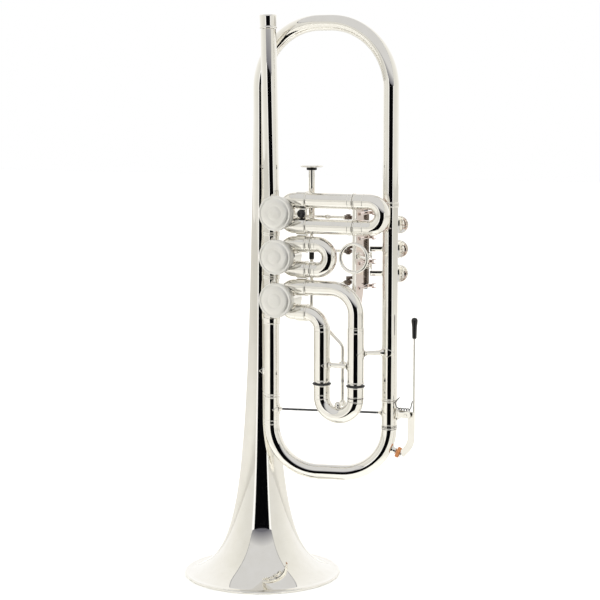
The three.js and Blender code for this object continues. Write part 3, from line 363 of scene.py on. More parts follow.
class Route:
    """A centre line of straight runs joined by round bends, measured by distance along it."""

    def __init__(self, points: list[Vector], bend_r: float = 0.0, step_deg: float = 5.0) -> None:
        """Lay the line out.

        Args:
            points: Corner points in order, ends included.
            bend_r: Radius of the centre line at each inner corner.
            step_deg: Turn between two rings of a bend.
        """
        self.runs: list[Run] = []
        self.stops: list[float] = []
        self.length = 0.0
        self.normal = self._plane_normal(points)
        here = points[0].copy()
        for i in range(1, len(points) - 1):
            before = (points[i] - points[i - 1]).normalized()
            after = (points[i + 1] - points[i]).normalized()
            turn = before.angle(after)
            axis = before.cross(after).normalized()
            start = points[i] - before * bend_r * math.tan(turn / 2)
            centre = start + axis.cross(before) * bend_r
            self._add_line(here, start)
            self._add_arc(centre, start - centre, axis, turn, bend_r, step_deg)
            here = centre + Matrix.Rotation(turn, 3, axis) @ (start - centre)
        self._add_line(here, points[-1])

    @staticmethod
    def _plane_normal(points: list[Vector]) -> Vector:
        """Give the normal of the plane that the points lie in, or any normal of a straight line.

        Args:
            points: Corner points in order.

        Returns:
            The normal, of length one.
        """
        first = (points[1] - points[0]).normalized()
        for i in range(1, len(points) - 1):
            across = first.cross((points[i + 1] - points[i]).normalized())
            if across.length > TINY:
                return across.normalized()
        return first.orthogonal().normalized()

    def _add_line(self, start: Vector, end: Vector) -> None:
        """Add a straight run.

        Args:
            start: Where the run starts.
            end: Where it ends.
        """
        long = (end - start).length
        if long <= TINY:
            return
        origin, way = start.copy(), (end - start).normalized()

        def at(s: float) -> tuple[Vector, Vector]:
            """Give the place and the direction at a distance along the run."""
            return origin + way * s, way

        self.runs.append((self.length, long, at))
        self.length += long

    def _add_arc(
        self, centre: Vector, arm: Vector, axis: Vector, turn: float, radius: float, step_deg: float
    ) -> None:
        """Add a round bend, with stops along it.

        Args:
            centre: Centre of the bend.
            arm: The way from the centre to the start of the bend.
            axis: The line that it turns about.
            turn: Its angle in radians.
            radius: Radius of the centre line.
            step_deg: Turn between two rings.
        """
        long = radius * turn

        def at(s: float) -> tuple[Vector, Vector]:
            """Give the place and the direction at a distance along the bend."""
            spin = Matrix.Rotation(s / radius, 3, axis)
            return centre + spin @ arm, spin @ axis.cross(arm).normalized()

        count = max(2, round(math.degrees(turn) / step_deg))
        self.stops += [self.length + long * i / count for i in range(count + 1)]
        self.runs.append((self.length, long, at))
        self.length += long

    def at(self, distance: float) -> tuple[Vector, Vector]:
        """Give the place and the direction at a distance along the line.

        Args:
            distance: Distance from the start. Beyond the end, the last run goes on.

        Returns:
            The place, and the direction of length one.
        """
        for start, long, place in self.runs:
            if distance <= start + long + TINY:
                return place(distance - start)
        start, long, place = self.runs[-1]
        return place(distance - start)


def straight(start: Vector, end: Vector) -> Route:
    """Give a straight route."""
    return Route([start, end])


def up_from(x: float, y: float, z: float) -> Route:
    """Give an upright route whose distances are heights above z."""
    return Route([Vector((x, y, z)), Vector((x, y, z + 1))])


def bead(start: float, width: float, radius: float, proud: float, steps: int = 8) -> Outline:
    """Give a half-round ridge on a tube, as points of its outline.

    Args:
        start: Distance where the ridge begins.
        width: Its width along the tube, which may be negative.
        radius: The tube's radius.
        proud: How far the ridge stands out.
        steps: Facets over the ridge.

    Returns:
        Distances and radii.
    """
    turns = [math.pi * i / steps for i in range(steps + 1)]
    return [(start + width * (1 - math.cos(a)) / 2, radius + proud * math.sin(a)) for a in turns]


def eased(start: float, end: float, radius: float, soft: float = 0.25) -> Outline:
    """Give a solid bar's outline with softened ends, closed on its axis.

    Args:
        start: Distance of its first end.
        end: Distance of its other end.
        radius: Its radius.
        soft: How far its ends are softened.

    Returns:
        Distances and radii.
    """
    way = math.copysign(soft, end - start)
    low = [(start, 0.0), (start, radius - soft), (start + way, radius)]
    return low + [(end - way, radius), (end, radius - soft), (end, 0.0)]


def knob(start: float, radius: float, steps: int = 12) -> Outline:
    """Give a ball's outline, from its lowest to its highest point."""
    turns = [math.pi * i / steps for i in range(steps + 1)]
    return [(start + radius * (1 - math.cos(a)), radius * math.sin(a)) for a in turns]


@dataclass
class Draft:
    """A mesh on the way: shells in millimetres, measured from the bell axis at the rim."""

    points: list[Vector] = field(default_factory=list)
    faces: list[tuple[int, ...]] = field(default_factory=list)

    def sweep(self, route: Route, outline: Outline, sides: int = 48) -> "Draft":
        """Carry rings along a route: the one way that tubes, rods, discs and balls are made.

        Args:
            route: The centre line.
            outline: Distances and radii. It ends on the axis, or closes on itself as a hollow.
            sides: Facets round the piece.

        Returns:
            This draft.
        """
        closed = outline[0][1] > 0 or outline[-1][1] > 0
        rings = [self._ring(route, s, r, sides) for s, r in self._with_stops(route, outline, closed)]
        pairs = list(zip(rings, rings[1:]))
        if closed:
            pairs.append((rings[-1], rings[0]))
        for low, high in pairs:
            self.skin(low, high)
        return self

    @staticmethod
    def _with_stops(route: Route, outline: Outline, closed: bool) -> Outline:
        """Add the route's bend stops to an outline wherever it runs along the line.

        Args:
            route: The centre line.
            outline: Distances and radii.
            closed: Whether the outline closes on itself.

        Returns:
            The outline, with a point at each stop that it runs past.
        """
        ends = outline[1:] + ([outline[0]] if closed else [])
        full: Outline = []
        apart = 1e-4
        for (s0, r0), (s1, r1) in zip(outline, ends):
            full.append((s0, r0))
            inner = [s for s in route.stops if min(s0, s1) + apart < s < max(s0, s1) - apart]
            for s in inner if s1 > s0 else reversed(inner):
                full.append((s, r0 + (r1 - r0) * (s - s0) / (s1 - s0)))
        return full if closed else full + [outline[-1]]

    def _ring(self, route: Route, distance: float, radius: float, sides: int) -> list[int]:
        """Add one ring of points, or one point where the radius is nought.

        Args:
            route: The centre line.
            distance: Where on the line the ring is.
            radius: Its radius.
            sides: Facets round it.

        Returns:
            The numbers of its points.
        """
        place, way = route.at(distance)
        start = len(self.points)
        if radius < TINY:
            self.points.append(place)
            return [start]
        u = (route.normal - way * route.normal.dot(way)).normalized()
        v = way.cross(u)
        for i in range(sides):
            angle = FULL_TURN * i / sides
            self.points.append(place + u * radius * math.cos(angle) + v * radius * math.sin(angle))
        return list(range(start, start + sides))

    def skin(self, low: list[int], high: list[int]) -> None:
        """Join two rings with faces, where either may be a single point.

        Args:
            low: Point numbers of the first ring.
            high: Point numbers of the next one.
        """
        sides = max(len(low), len(high))
        if sides == 1:
            return
        for i in range(sides):
            k = (i + 1) % sides
            if len(low) == 1:
                self.faces.append((low[0], high[k], high[i]))
            elif len(high) == 1:
                self.faces.append((low[i], low[k], high[0]))
            else:
                self.faces.append((low[i], low[k], high[k], high[i]))

    def loft(self, layers: list[list[Vector]], capped: bool = True) -> "Draft":
        """Skin a pile of point rings.

        Args:
            layers: The rings in order, each with as many points. Either end may be a single point.
            capped: Whether a flat face closes each end.

        Returns:
            This draft.
        """
        rings = []
        for layer in layers:
            first = len(self.points)
            self.points += layer
            rings.append(list(range(first, first + len(layer))))
        for low, high in zip(rings, rings[1:]):
            self.skin(low, high)
        if capped:
            self.faces += [tuple(reversed(rings[0])), tuple(rings[-1])]
        return self

    def rod(self, start: Vector, end: Vector, radius: float, sides: int = 24) -> "Draft":
        """Add a plain rod with softened ends."""
        route = straight(start, end)
        return self.sweep(route, eased(0.0, route.length, radius, min(0.25, radius / 4)), sides)

    def ball(self, centre: Vector, radius: float, sides: int = 24) -> "Draft":
        """Add a ball."""
        low = centre - Vector((0, 0, radius))
        return self.sweep(straight(low, centre), knob(0.0, radius), sides)

    def bar(
        self, start: Vector, end: Vector, wide: float, thick: float, up: Vector, soft: float = 0.4,
    ) -> "Draft":
        """Add a flat bar with softened edges.

        Args:
            start: Middle of its first end.
            end: Middle of its last end.
            wide: Size across, at right angles to up.
            thick: Size along up.
            up: The direction of its thickness.
            soft: Radius of its edges.

        Returns:
            This draft.
        """
        way = (end - start).normalized()
        across = up.cross(way).normalized()
        lift = way.cross(across).normalized()
        corners = []
        for quarter, (sign_u, sign_v) in enumerate(((1, 1), (-1, 1), (-1, -1), (1, -1))):
            for step in range(4):
                a = math.pi / 2 * (quarter + step / 3)
                u = sign_u * (wide / 2 - soft) + soft * math.cos(a)
                v = sign_v * (thick / 2 - soft) + soft * math.sin(a)
                corners.append((u, v))
        long = (end - start).length
        layers = []
        for s, inset in ((0.0, soft), (soft, 0.0), (long - soft, 0.0), (long, soft)):
            moved = [(u - math.copysign(inset, u), v - math.copysign(inset, v)) for u, v in corners]
            layers.append([start + way * s + across * u + lift * v for u, v in moved])
        return self.loft(layers)

    def plate(self, edge: list[Vector], thick: float, facing: Vector, soft: float = 0.25) -> "Draft":
        """Add a flat plate of any outline with softened edges.

        Args:
            edge: The outline's corners in the plate's middle plane.
            thick: Size along facing.
            facing: The plate's normal.
            soft: Radius of its edges.

        Returns:
            This draft.
        """
        count = len(edge)
        turning = sum((edge[i - 1].cross(edge[i]).dot(facing) for i in range(count)), 0.0)
        ordered = edge if turning > 0 else list(reversed(edge))
        inward = []
        for i, corner in enumerate(ordered):
            before = (corner - ordered[i - 1]).normalized()
            after = (ordered[(i + 1) % count] - corner).normalized()
            inward.append((facing.cross(before) + facing.cross(after)).normalized())
        half = thick / 2
        return self.loft([
            [corner + way * inset + facing * lift for corner, way in zip(ordered, inward)]
            for lift, inset in ((-half, soft), (soft - half, 0.0), (half - soft, 0.0), (half, soft))
        ])

    def saddle(
        self, tube: Vector, axis: Vector, facing: Vector, radius: float,
        tall: float, wide: float, proud: float = 0.4,
    ) -> "Draft":
        """Add a thin rhombic flange that wraps a tube, as under the end of a stay.

        Args:
            tube: Point of the tube's axis beside the flange's middle.
            axis: The tube's direction.
            facing: Where the flange's middle lies, seen from the axis.
            radius: The tube's radius.
            tall: Size along the tube.
            wide: Size round the tube.
            proud: Thickness of the sheet.

        Returns:
            This draft.
        """
        across = axis.cross(facing).normalized()
        out = across.cross(axis).normalized()
        corners = ((1, 0), (0, 1), (-1, 0), (0, -1), (1, 0))
        steps, rows, edge_share = 12, 6, 0.93

        def layer(share: float, lift: float) -> list[Vector]:
            """Give one rhombus of points round the tube.

            Args:
                share: Size of the rhombus, as a share of the flange.
                lift: How far it stands out.

            Returns:
                Its points in order.
            """
            ring = []
            for i in range(steps * 4):
                corner, part = divmod(i, steps)
                (a0, b0), (a1, b1) = corners[corner], corners[corner + 1]
                t = part / steps
                along = share * (a0 + (a1 - a0) * t) * tall / 2
                bend = share * (b0 + (b1 - b0) * t) * wide / 2 / radius
                arm = out * math.cos(bend) + across * math.sin(bend)
                ring.append(tube + axis * along + arm * (radius + lift))
            return ring

        layers = [layer(1.0, 0.0), layer(1.0, proud * 0.6)]
        layers += [layer(edge_share * (1 - row / rows), proud) for row in range(rows)]
        layers.append([tube + out * (radius + proud)])
        return self.loft(layers, capped=False)


@dataclass
class Bench:
    """Where drafts become pieces of the scene: it knows the bell axis and the CAD bodies."""

    origin: Vector = field(default_factory=lambda: sum(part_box("bell"), Vector()) / 2)
    made: int = 0

    def place(
        self, name: str, draft: Draft, coat: Coat, body: str = "instrument", nodes: tuple[str, ...] = (),
        slot: str = "silver_plate", crease_deg: float = 40.0,
    ) -> bpy.types.Object:
        """Make a draft's mesh and put it on its body.

        Args:
            name: The piece's name.
            draft: The mesh in millimetres from the bell axis.
            coat: Its finish.
            body: The CAD body that it rides on.
            nodes: CAD nodes that it stands for.
            slot: The record's slot for its finish; not used here.
            crease_deg: Edges sharper than this stay crisp.

        Returns:
            The piece.
        """
        shift = Vector((self.origin.x, self.origin.y, 0.0))
        mesh = bpy.data.meshes.new(name)
        mesh.from_pydata([p * MM + shift for p in draft.points], [], draft.faces)
        work = bmesh.new()
        work.from_mesh(mesh)
        bmesh.ops.remove_doubles(work, verts=work.verts, dist=0.002 * MM)
        bmesh.ops.recalc_face_normals(work, faces=work.faces)
        work.to_mesh(mesh)
        work.free()
        mesh.shade_smooth()
        mesh.set_sharp_from_angle(angle=math.radians(crease_deg))
        piece = bpy.data.objects.new(name, mesh)
        bpy.context.scene.collection.objects.link(piece)
        mesh.materials.append(coat.value.material())
        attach(piece, body)
        if nodes:
            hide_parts(*nodes)
        self.made += 1
        log.info("%s: %d points on %s", name, len(mesh.vertices), body)
        return piece

    def recoat(self, node: str, coat: Coat, crease_deg: float = 50.0) -> None:
        """Give a CAD node that stays its finish, smooth where it is round.

        Args:
            node: The node's name.
            coat: Its finish.
            crease_deg: Edges sharper than this stay crisp.
        """
        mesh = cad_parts[node].data
        mesh.materials.clear()
        mesh.materials.append(coat.value.material())
        mesh.shade_smooth()
        mesh.set_sharp_from_angle(angle=math.radians(crease_deg))
        log.info("%s: kept from the frame", node)


@dataclass
class Assembly:
    """A sub-assembly, with the bench that its pieces are put together on."""

    bench: Bench


@dataclass
class Tubing:
    """Sizes that the sleeves, the slides and their ferrules share."""

    sleeve_r: float = 6.2
    bore_r: float = 5.65
    leg_r: float = 5.3
    leg_bore_r: float = 4.85
    collar_r: float = 7.0
    lip: float = 0.45
    lip_wide: float = 1.3
    line: float = 0.16
    line_wide: float = 0.8

    def lip_at(self, start: float, radius: float = 0.0) -> Outline:
        """Give the rounded lip that finishes a sleeve or a slide."""
        return bead(start, self.lip_wide, radius or self.sleeve_r, self.lip)

    def line_at(self, middle: float, radius: float = 0.0) -> Outline:
        """Give a fine raised line round a tube."""
        return bead(middle - self.line_wide / 2, self.line_wide, radius or self.sleeve_r, self.line, 6)


TUBING = Tubing()
LINE = Vector((19.0, -20.8, 0.0))
RETURN = Vector((113.6, 0.0, 0.0))
VALVE_X = 28.5
VALVE_Z = (306.2, 271.2, 236.2)
LOOP_HALF = 10.3
STUB_END = 45.5


def in_line(*places: tuple[float, float]) -> list[Vector]:
    """Give points in the upright plane of the valves, by their X and Z."""
    return [Vector((x, LINE.y, z)) for x, z in places]


def hollow(outer: Outline, inner_r: float) -> Outline:
    """Close an outer outline with a straight bore."""
    return [(outer[0][0], inner_r), *outer, (outer[-1][0], inner_r)]


@dataclass
class BellAndBow(Assembly):
    """The flared bell, the bow above it and the return tube beside the levers."""

    rim_r: float = 65.0
    floor_r: float = 8.0
    knee: float = 9.3
    power: float = 0.435
    wall: float = 0.7
    bow_wall: float = 0.5
    stem_r: float = 6.3
    top_z: float = 403.3
    bead_r: float = 1.05
    rows: int = 120
    bend_r: float = 52.0
    crown_z: float = 457.3
    tail_z: float = 312.2
    return_r: float = 6.15
    return_end_z: float = 156.0
    ferrule_z: tuple[float, float] = (311.4, 315.6)
    ferrule_proud: float = 0.3

    def flare(self, z: float) -> float:
        """Give the bell's outer radius at a height."""
        reach = (self.rim_r + self.floor_r) * (self.knee / (z + self.knee)) ** self.power
        return max(reach - self.floor_r, self.stem_r)

    def bell_outline(self) -> Outline:
        """Give the bell's section: down its outside, round the rim bead and up its inside.

        Returns:
            Heights and radii.
        """
        crowding, outer_low_z, inner_low_z = 2.2, 1.7, 1.0
        from_deg, round_deg, steps = 115, 245, 20
        heights = [self.top_z * (i / self.rows) ** crowding for i in range(self.rows + 1)]
        outer = [(z, self.flare(z)) for z in reversed(heights) if z > outer_low_z]
        centre_r = self.rim_r - self.bead_r
        turns = [math.radians(from_deg - round_deg * i / steps) for i in range(steps + 1)]
        rim = [
            (self.bead_r + self.bead_r * math.sin(a), centre_r + self.bead_r * math.cos(a))
            for a in turns
        ]
        inner = []
        for z in heights:
            if z > inner_low_z:
                slope = (self.flare(z - 0.2) - self.flare(z + 0.2)) / 0.4
                inner.append((z, self.flare(z) - self.wall * math.hypot(1, slope)))
        return outer + rim + inner

    def build(self) -> None:
        """Make the bell, the bow with its ferrule, and the return tube."""
        bell = Draft().sweep(up_from(0, 0, 0), self.bell_outline(), 128)
        self.bench.place("bell_flare", bell, Coat.SILVER, nodes=("bell",), crease_deg=60)
        corners = [
            Z * (self.top_z + 0.02), Z * self.crown_z, RETURN + Z * self.crown_z, RETURN + Z * self.tail_z,
        ]
        route = Route(corners, self.bend_r, 2.5)
        skin = [(0, self.stem_r), (route.length, self.stem_r)]
        bow = Draft().sweep(route, hollow(skin, self.stem_r - self.bow_wall), 64)
        self.bench.place("bell_bow_tube", bow, Coat.SILVER, nodes=("bell_bow",))
        low, high = self.ferrule_z
        r = self.stem_r + self.ferrule_proud
        outline: Outline = [(self.return_end_z, TUBING.bore_r)]
        outline += bead(self.return_end_z, TUBING.lip_wide, self.return_r, TUBING.lip)
        outline += [(low, self.return_r), *bead(low, 1.1, r, 0.4), *bead(high - 1.1, 1.1, r, 0.4)]
        outline += [(high, r), (high, r - 0.25)]
        outline += [(self.tail_z - 0.3, r - 0.25), (self.tail_z - 0.3, TUBING.bore_r)]
        tube = Draft().sweep(up_from(RETURN.x, RETURN.y, 0), outline, 64)
        self.bench.place("return_tube_skin", tube, Coat.SILVER, nodes=("return_tube",))


@dataclass
class Leadpipe(Assembly):
    """The mouthpiece receiver, the leadpipe and the sleeve below the valves."""

    foot_z: float = 323.6
    top_z: float = 452.2
    lean: float = 2.6
    foot_r: float = 6.15
    foot_bore_r: float = 5.4
    waist_r: float = 6.5
    neck_r: float = 6.2
    neck_bore_r: float = 4.7
    receiver_r: float = 6.95
    receiver_high: float = 11.0
    receiver_bore_r: float = 5.0
    lower_top_z: float = 218.55
    lower_collar: float = 2.0
    lower_end_z: float = 156.6

    def x_at(self, z: float) -> float:
        """Give where the leaning pipe's axis is at a height."""
        return LINE.x - self.lean * (z - self.foot_z) / (self.top_z - self.foot_z)

    def build(self) -> None:
        """Make the receiver, the leadpipe and the lower sleeve."""
        foot = Vector((LINE.x, LINE.y, self.foot_z))
        lean = math.atan2(self.lean, self.top_z - self.foot_z)
        way = Vector((-math.sin(lean), 0, math.cos(lean)))
        long = self.top_z - self.foot_z
        route = straight(foot, foot + way * (long + self.receiver_high))
        outline = [(0.0, self.foot_bore_r), (0.0, self.foot_r)]
        for share in (0.25, 0.5, 0.75):
            swell = (self.waist_r - self.foot_r) * math.sin(math.pi / 2 * share / 0.75)
            outline.append((long * share, self.foot_r + swell))
        outline += [(long * 0.88, self.waist_r - 0.1), (long, self.neck_r), (long, self.neck_bore_r)]
        self.bench.place(
            "leadpipe_tube", Draft().sweep(route, outline, 64), Coat.SILVER, nodes=("leadpipe",),
        )
        low = long + 0.3
        high = low + self.receiver_high
        r = self.receiver_r
        receiver = [(low, self.neck_bore_r + 0.05), *bead(low, 1.6, r - 0.35, 0.4)]
        receiver += [(low + 2.1, r - 0.36), (low + 2.4, r - 0.35), (high - 1.3, r - 0.02)]
        receiver += [(high - 1.0, r), (high - 0.4, r - 0.1), (high, r - 0.6)]
        receiver += [(high, self.receiver_bore_r + 0.3), (high - 0.5, self.receiver_bore_r)]
        cup = Draft().sweep(route, receiver, 64)
        self.bench.place("receiver_cup", cup, Coat.SILVER, nodes=("mouthpiece_receiver",))
        self.lower_sleeve()

    def lower_sleeve(self) -> None:
        """Make the sleeve below the valves, from its lip up to the collar over the stub."""
        top = self.lower_top_z
        collar = top + self.lower_collar
        socket_r = TUBING.sleeve_r + 0.3
        outline: Outline = [(self.lower_end_z, TUBING.bore_r), *TUBING.lip_at(self.lower_end_z)]
        outline += [(top - 3.2, TUBING.sleeve_r), *bead(top - 3.2, 1.0, socket_r, 0.4)]
        outline += [(collar - 0.4, TUBING.collar_r), (collar - 0.2, TUBING.collar_r - 0.2)]
        outline += [(collar - 0.2, socket_r), (top, socket_r), (top, TUBING.bore_r)]
        tube = Draft().sweep(up_from(LINE.x, LINE.y, 0), outline, 64)
        self.bench.place("lower_main_sleeve", tube, Coat.SILVER, nodes=("lower_main_tube",))


@dataclass
class Valve(Assembly):
    """One rotary valve: casing with its knuckles, frosted screw cap, stop arm and corks."""

    number: int
    casing_r: float = 12.5
    half: float = 11.0
    back_wall: float = 2.8
    cap_r: float = 14.2
    cap_skirt: float = 4.0
    cap_face: float = 3.9
    cap_rim: float = 2.6
    knurls: int = 72
    stub_half: float = 17.35
    knuckle_bend: float = 6.6
    arm_low: float = 0.4
    arm_thick: float = 4.0
    pin_r: float = 5.29
    nose_r: float = 9.6
    cork_out: float = 8.0
    cork_deg: tuple[float, float] = (195.0, 345.0)

    @property
    def z(self) -> float:
        """Give the height of the rotor axis."""
        return VALVE_Z[self.number - 1]

    @property
    def up(self) -> int:
        """Give the side of the stop arm's pin: below the axis on the first valve, above on the others."""
        return -1 if self.number == 1 else 1

    def point(self, x: float, y: float, z: float) -> Vector:
        """Give a point measured from the middle of the rotor axis."""
        return Vector((VALVE_X + x, LINE.y + y, self.z + z))

    def along(self, x: float = 0.0, z: float = 0.0) -> Route:
        """Give a route along +Y whose distances are measured from the casing's middle."""
        return straight(self.point(x, 0, z), self.point(x, 1, z))

    def casing(self) -> Draft:
        """Make the barrel with its back wall, the line stubs and the knuckles of the loops.

        Returns:
            The casing's mesh.
        """
        h, r = self.half, self.casing_r
        back = h - self.back_wall
        barrel = [(-h, r - 2.2), (-h, r), (h - 0.5, r), (h, r - 0.5), (h, 5.2)]
        barrel += [(h + 0.25, 5.0), (h + 0.25, 3.3), (back, 3.3), (back, r - 2.2)]
        draft = Draft().sweep(self.along(), barrel, 64)
        line_x = LINE.x - VALVE_X
        for side in (1, -1):
            stub = straight(self.point(line_x, 0, side * 3), self.point(line_x, 0, side * self.stub_half))
            stub_skin = [(0, TUBING.sleeve_r), (stub.length, TUBING.sleeve_r)]
            draft.sweep(stub, hollow(stub_skin, TUBING.bore_r), 48)
            places = ((3.2, 4.2), (6.9, LOOP_HALF), (17.0, LOOP_HALF))
            loop = Route([self.point(x, 0, side * z) for x, z in places], self.knuckle_bend, 6)
            loop_skin = [(0, TUBING.sleeve_r - 0.1), (loop.length, TUBING.sleeve_r)]
            draft.sweep(loop, hollow(loop_skin, TUBING.bore_r - 0.2), 48)
        root, rim = self.half - 0.6, self.half + 1.4
        socket = [(root, 2.35), (root, 3.0), (rim - 0.2, 3.0), (rim, 2.8), (rim, 2.35)]
        for route in self.cork_routes():
            draft.sweep(route, socket, 32)
        return draft

    def cork_routes(self) -> list[Route]:
        """Give the axes of the two stop corks, at rest and pressed."""
        turns = [math.radians(a * self.up) for a in self.cork_deg]
        return [self.along(self.cork_out * math.cos(a), self.cork_out * math.sin(a)) for a in turns]

    def cap(self) -> Draft:
        """Make the screw cap: a skirt, a thin rim, and fine rings round a very shallow dome.

        Returns:
            The cap's mesh.
        """
        low = -self.half + self.cap_skirt
        face = -self.half - 0.3 - self.cap_face
        back = face + self.cap_rim
        c, r = self.casing_r, self.cap_r
        outline: Outline = [(low, c + 0.3), (low, c + 0.7), (low - 0.3, c + 0.9)]
        outline += [(back + 0.5, c + 0.9), (back + 0.2, r - 0.8), (back, r - 0.5)]
        outline += [*bead(back - 0.1, -0.5, r - 0.4, 0.25), (back - 0.7, r - 0.6), (face + 0.8, r - 0.6)]
        outline += [*bead(face + 0.7, -0.5, r - 0.4, 0.25), (face + 0.1, r - 0.3), (face, r - 0.5)]
        outline += [(face, r - 1.9), (face + 0.12, r - 2.1), (face - 0.06, r - 2.4), (face - 0.3, r * 0.66)]
        outline += [(face - 0.5, r * 0.44), (face - 0.42, r * 0.41), (face - 0.52, r * 0.38)]
        outline += [(face - 0.62, r * 0.2), (face - 0.66, 0.0)]
        inner = [(-self.half - 0.3, 0.0), (-self.half - 0.3, self.casing_r + 0.3)]
        return Draft().sweep(self.along(), inner + outline, 96)

    def knurl(self) -> Draft:
        """Make the knurled band of the cap, whose teeth run along the axis.

        Returns:
            The band's mesh.
        """
        face = -self.half - 0.3 - self.cap_face
        low, high = face + self.cap_rim - 0.6, face + 0.7
        teeth = []
        for i in range(self.knurls * 2):
            angle = math.pi * i / self.knurls
            r = self.cap_r - (0.1 if i % 2 else 0.55)
            teeth.append((r * math.cos(angle), r * math.sin(angle)))
        rings = [[self.point(x, y, z) for x, z in teeth] for y in (low, high)]
        return Draft().loft([[self.point(0, low, 0)], *rings, [self.point(0, high, 0)]], capped=False)

    def stop_arm(self) -> Draft:
        """Make the stop arm: hub with its screw, the stud that faces the link, and the nose.

        Returns:
            The arm's mesh.
        """
        low = self.half + self.arm_low
        high = low + self.arm_thick
        hub = [(low, 3.2), (low, 4.4), (low + 0.3, 4.6), (low + 1.3, 4.6)]
        hub += [(low + 1.6, 5.0), (high - 0.5, 5.0), (high, 4.5), (high, 3.2)]
        draft = Draft().sweep(self.along(), hub, 48)
        pin, nose = math.radians(45 * self.up), math.radians(225 * self.up)
        x, z = self.pin_r * math.cos(pin), self.pin_r * math.sin(pin)
        stud = [(low, 0), (low, 2.2), (low + 0.3, 2.4), (high, 2.4), (high + 0.3, 2.0), (high + 0.4, 0)]
        draft.sweep(self.along(x, z), stud, 32)
        tip = self.point(self.nose_r * math.cos(nose), high - 1, self.nose_r * math.sin(nose))
        draft.bar(self.point(0, high - 1, 0), tip, 3.4, 2.0, Y)
        return draft

    def build(self) -> None:
        """Make the valve's pieces."""
        n = self.number
        self.bench.place(f"casing_{n}_barrel", self.casing(), Coat.SILVER, nodes=(f"valve_casing_{n}",))
        self.bench.place(
            f"cap_{n}_face", self.cap(), Coat.FROSTED, nodes=(f"valve_cap_{n}",), crease_deg=50,
        )
        self.bench.place(f"cap_{n}_knurl", self.knurl(), Coat.FROSTED, crease_deg=20)
        self.bench.place(
            f"stop_arm_{n}_lever", self.stop_arm(), Coat.SILVER, f"rotor_{n}", (f"stop_arm_{n}",),
        )
        low, high = self.half + 0.3, self.half + 3.5
        plug = [(low, 0), (low, 2.0), (high - 0.5, 2.0), (high, 1.5), (high, 0)]
        for route, word in zip(self.cork_routes(), ("rest", "pressed")):
            node = f"stop_cork_{n}_{word}"
            cork = Draft().sweep(route, plug, 32)
            self.bench.place(f"{node}_plug", cork, Coat.CORK, nodes=(node,), slot="cork")
        self.bench.recoat(f"rotor_{n}", Coat.BRASS)
        self.bench.recoat(f"bearing_plate_{n}", Coat.BRASS)


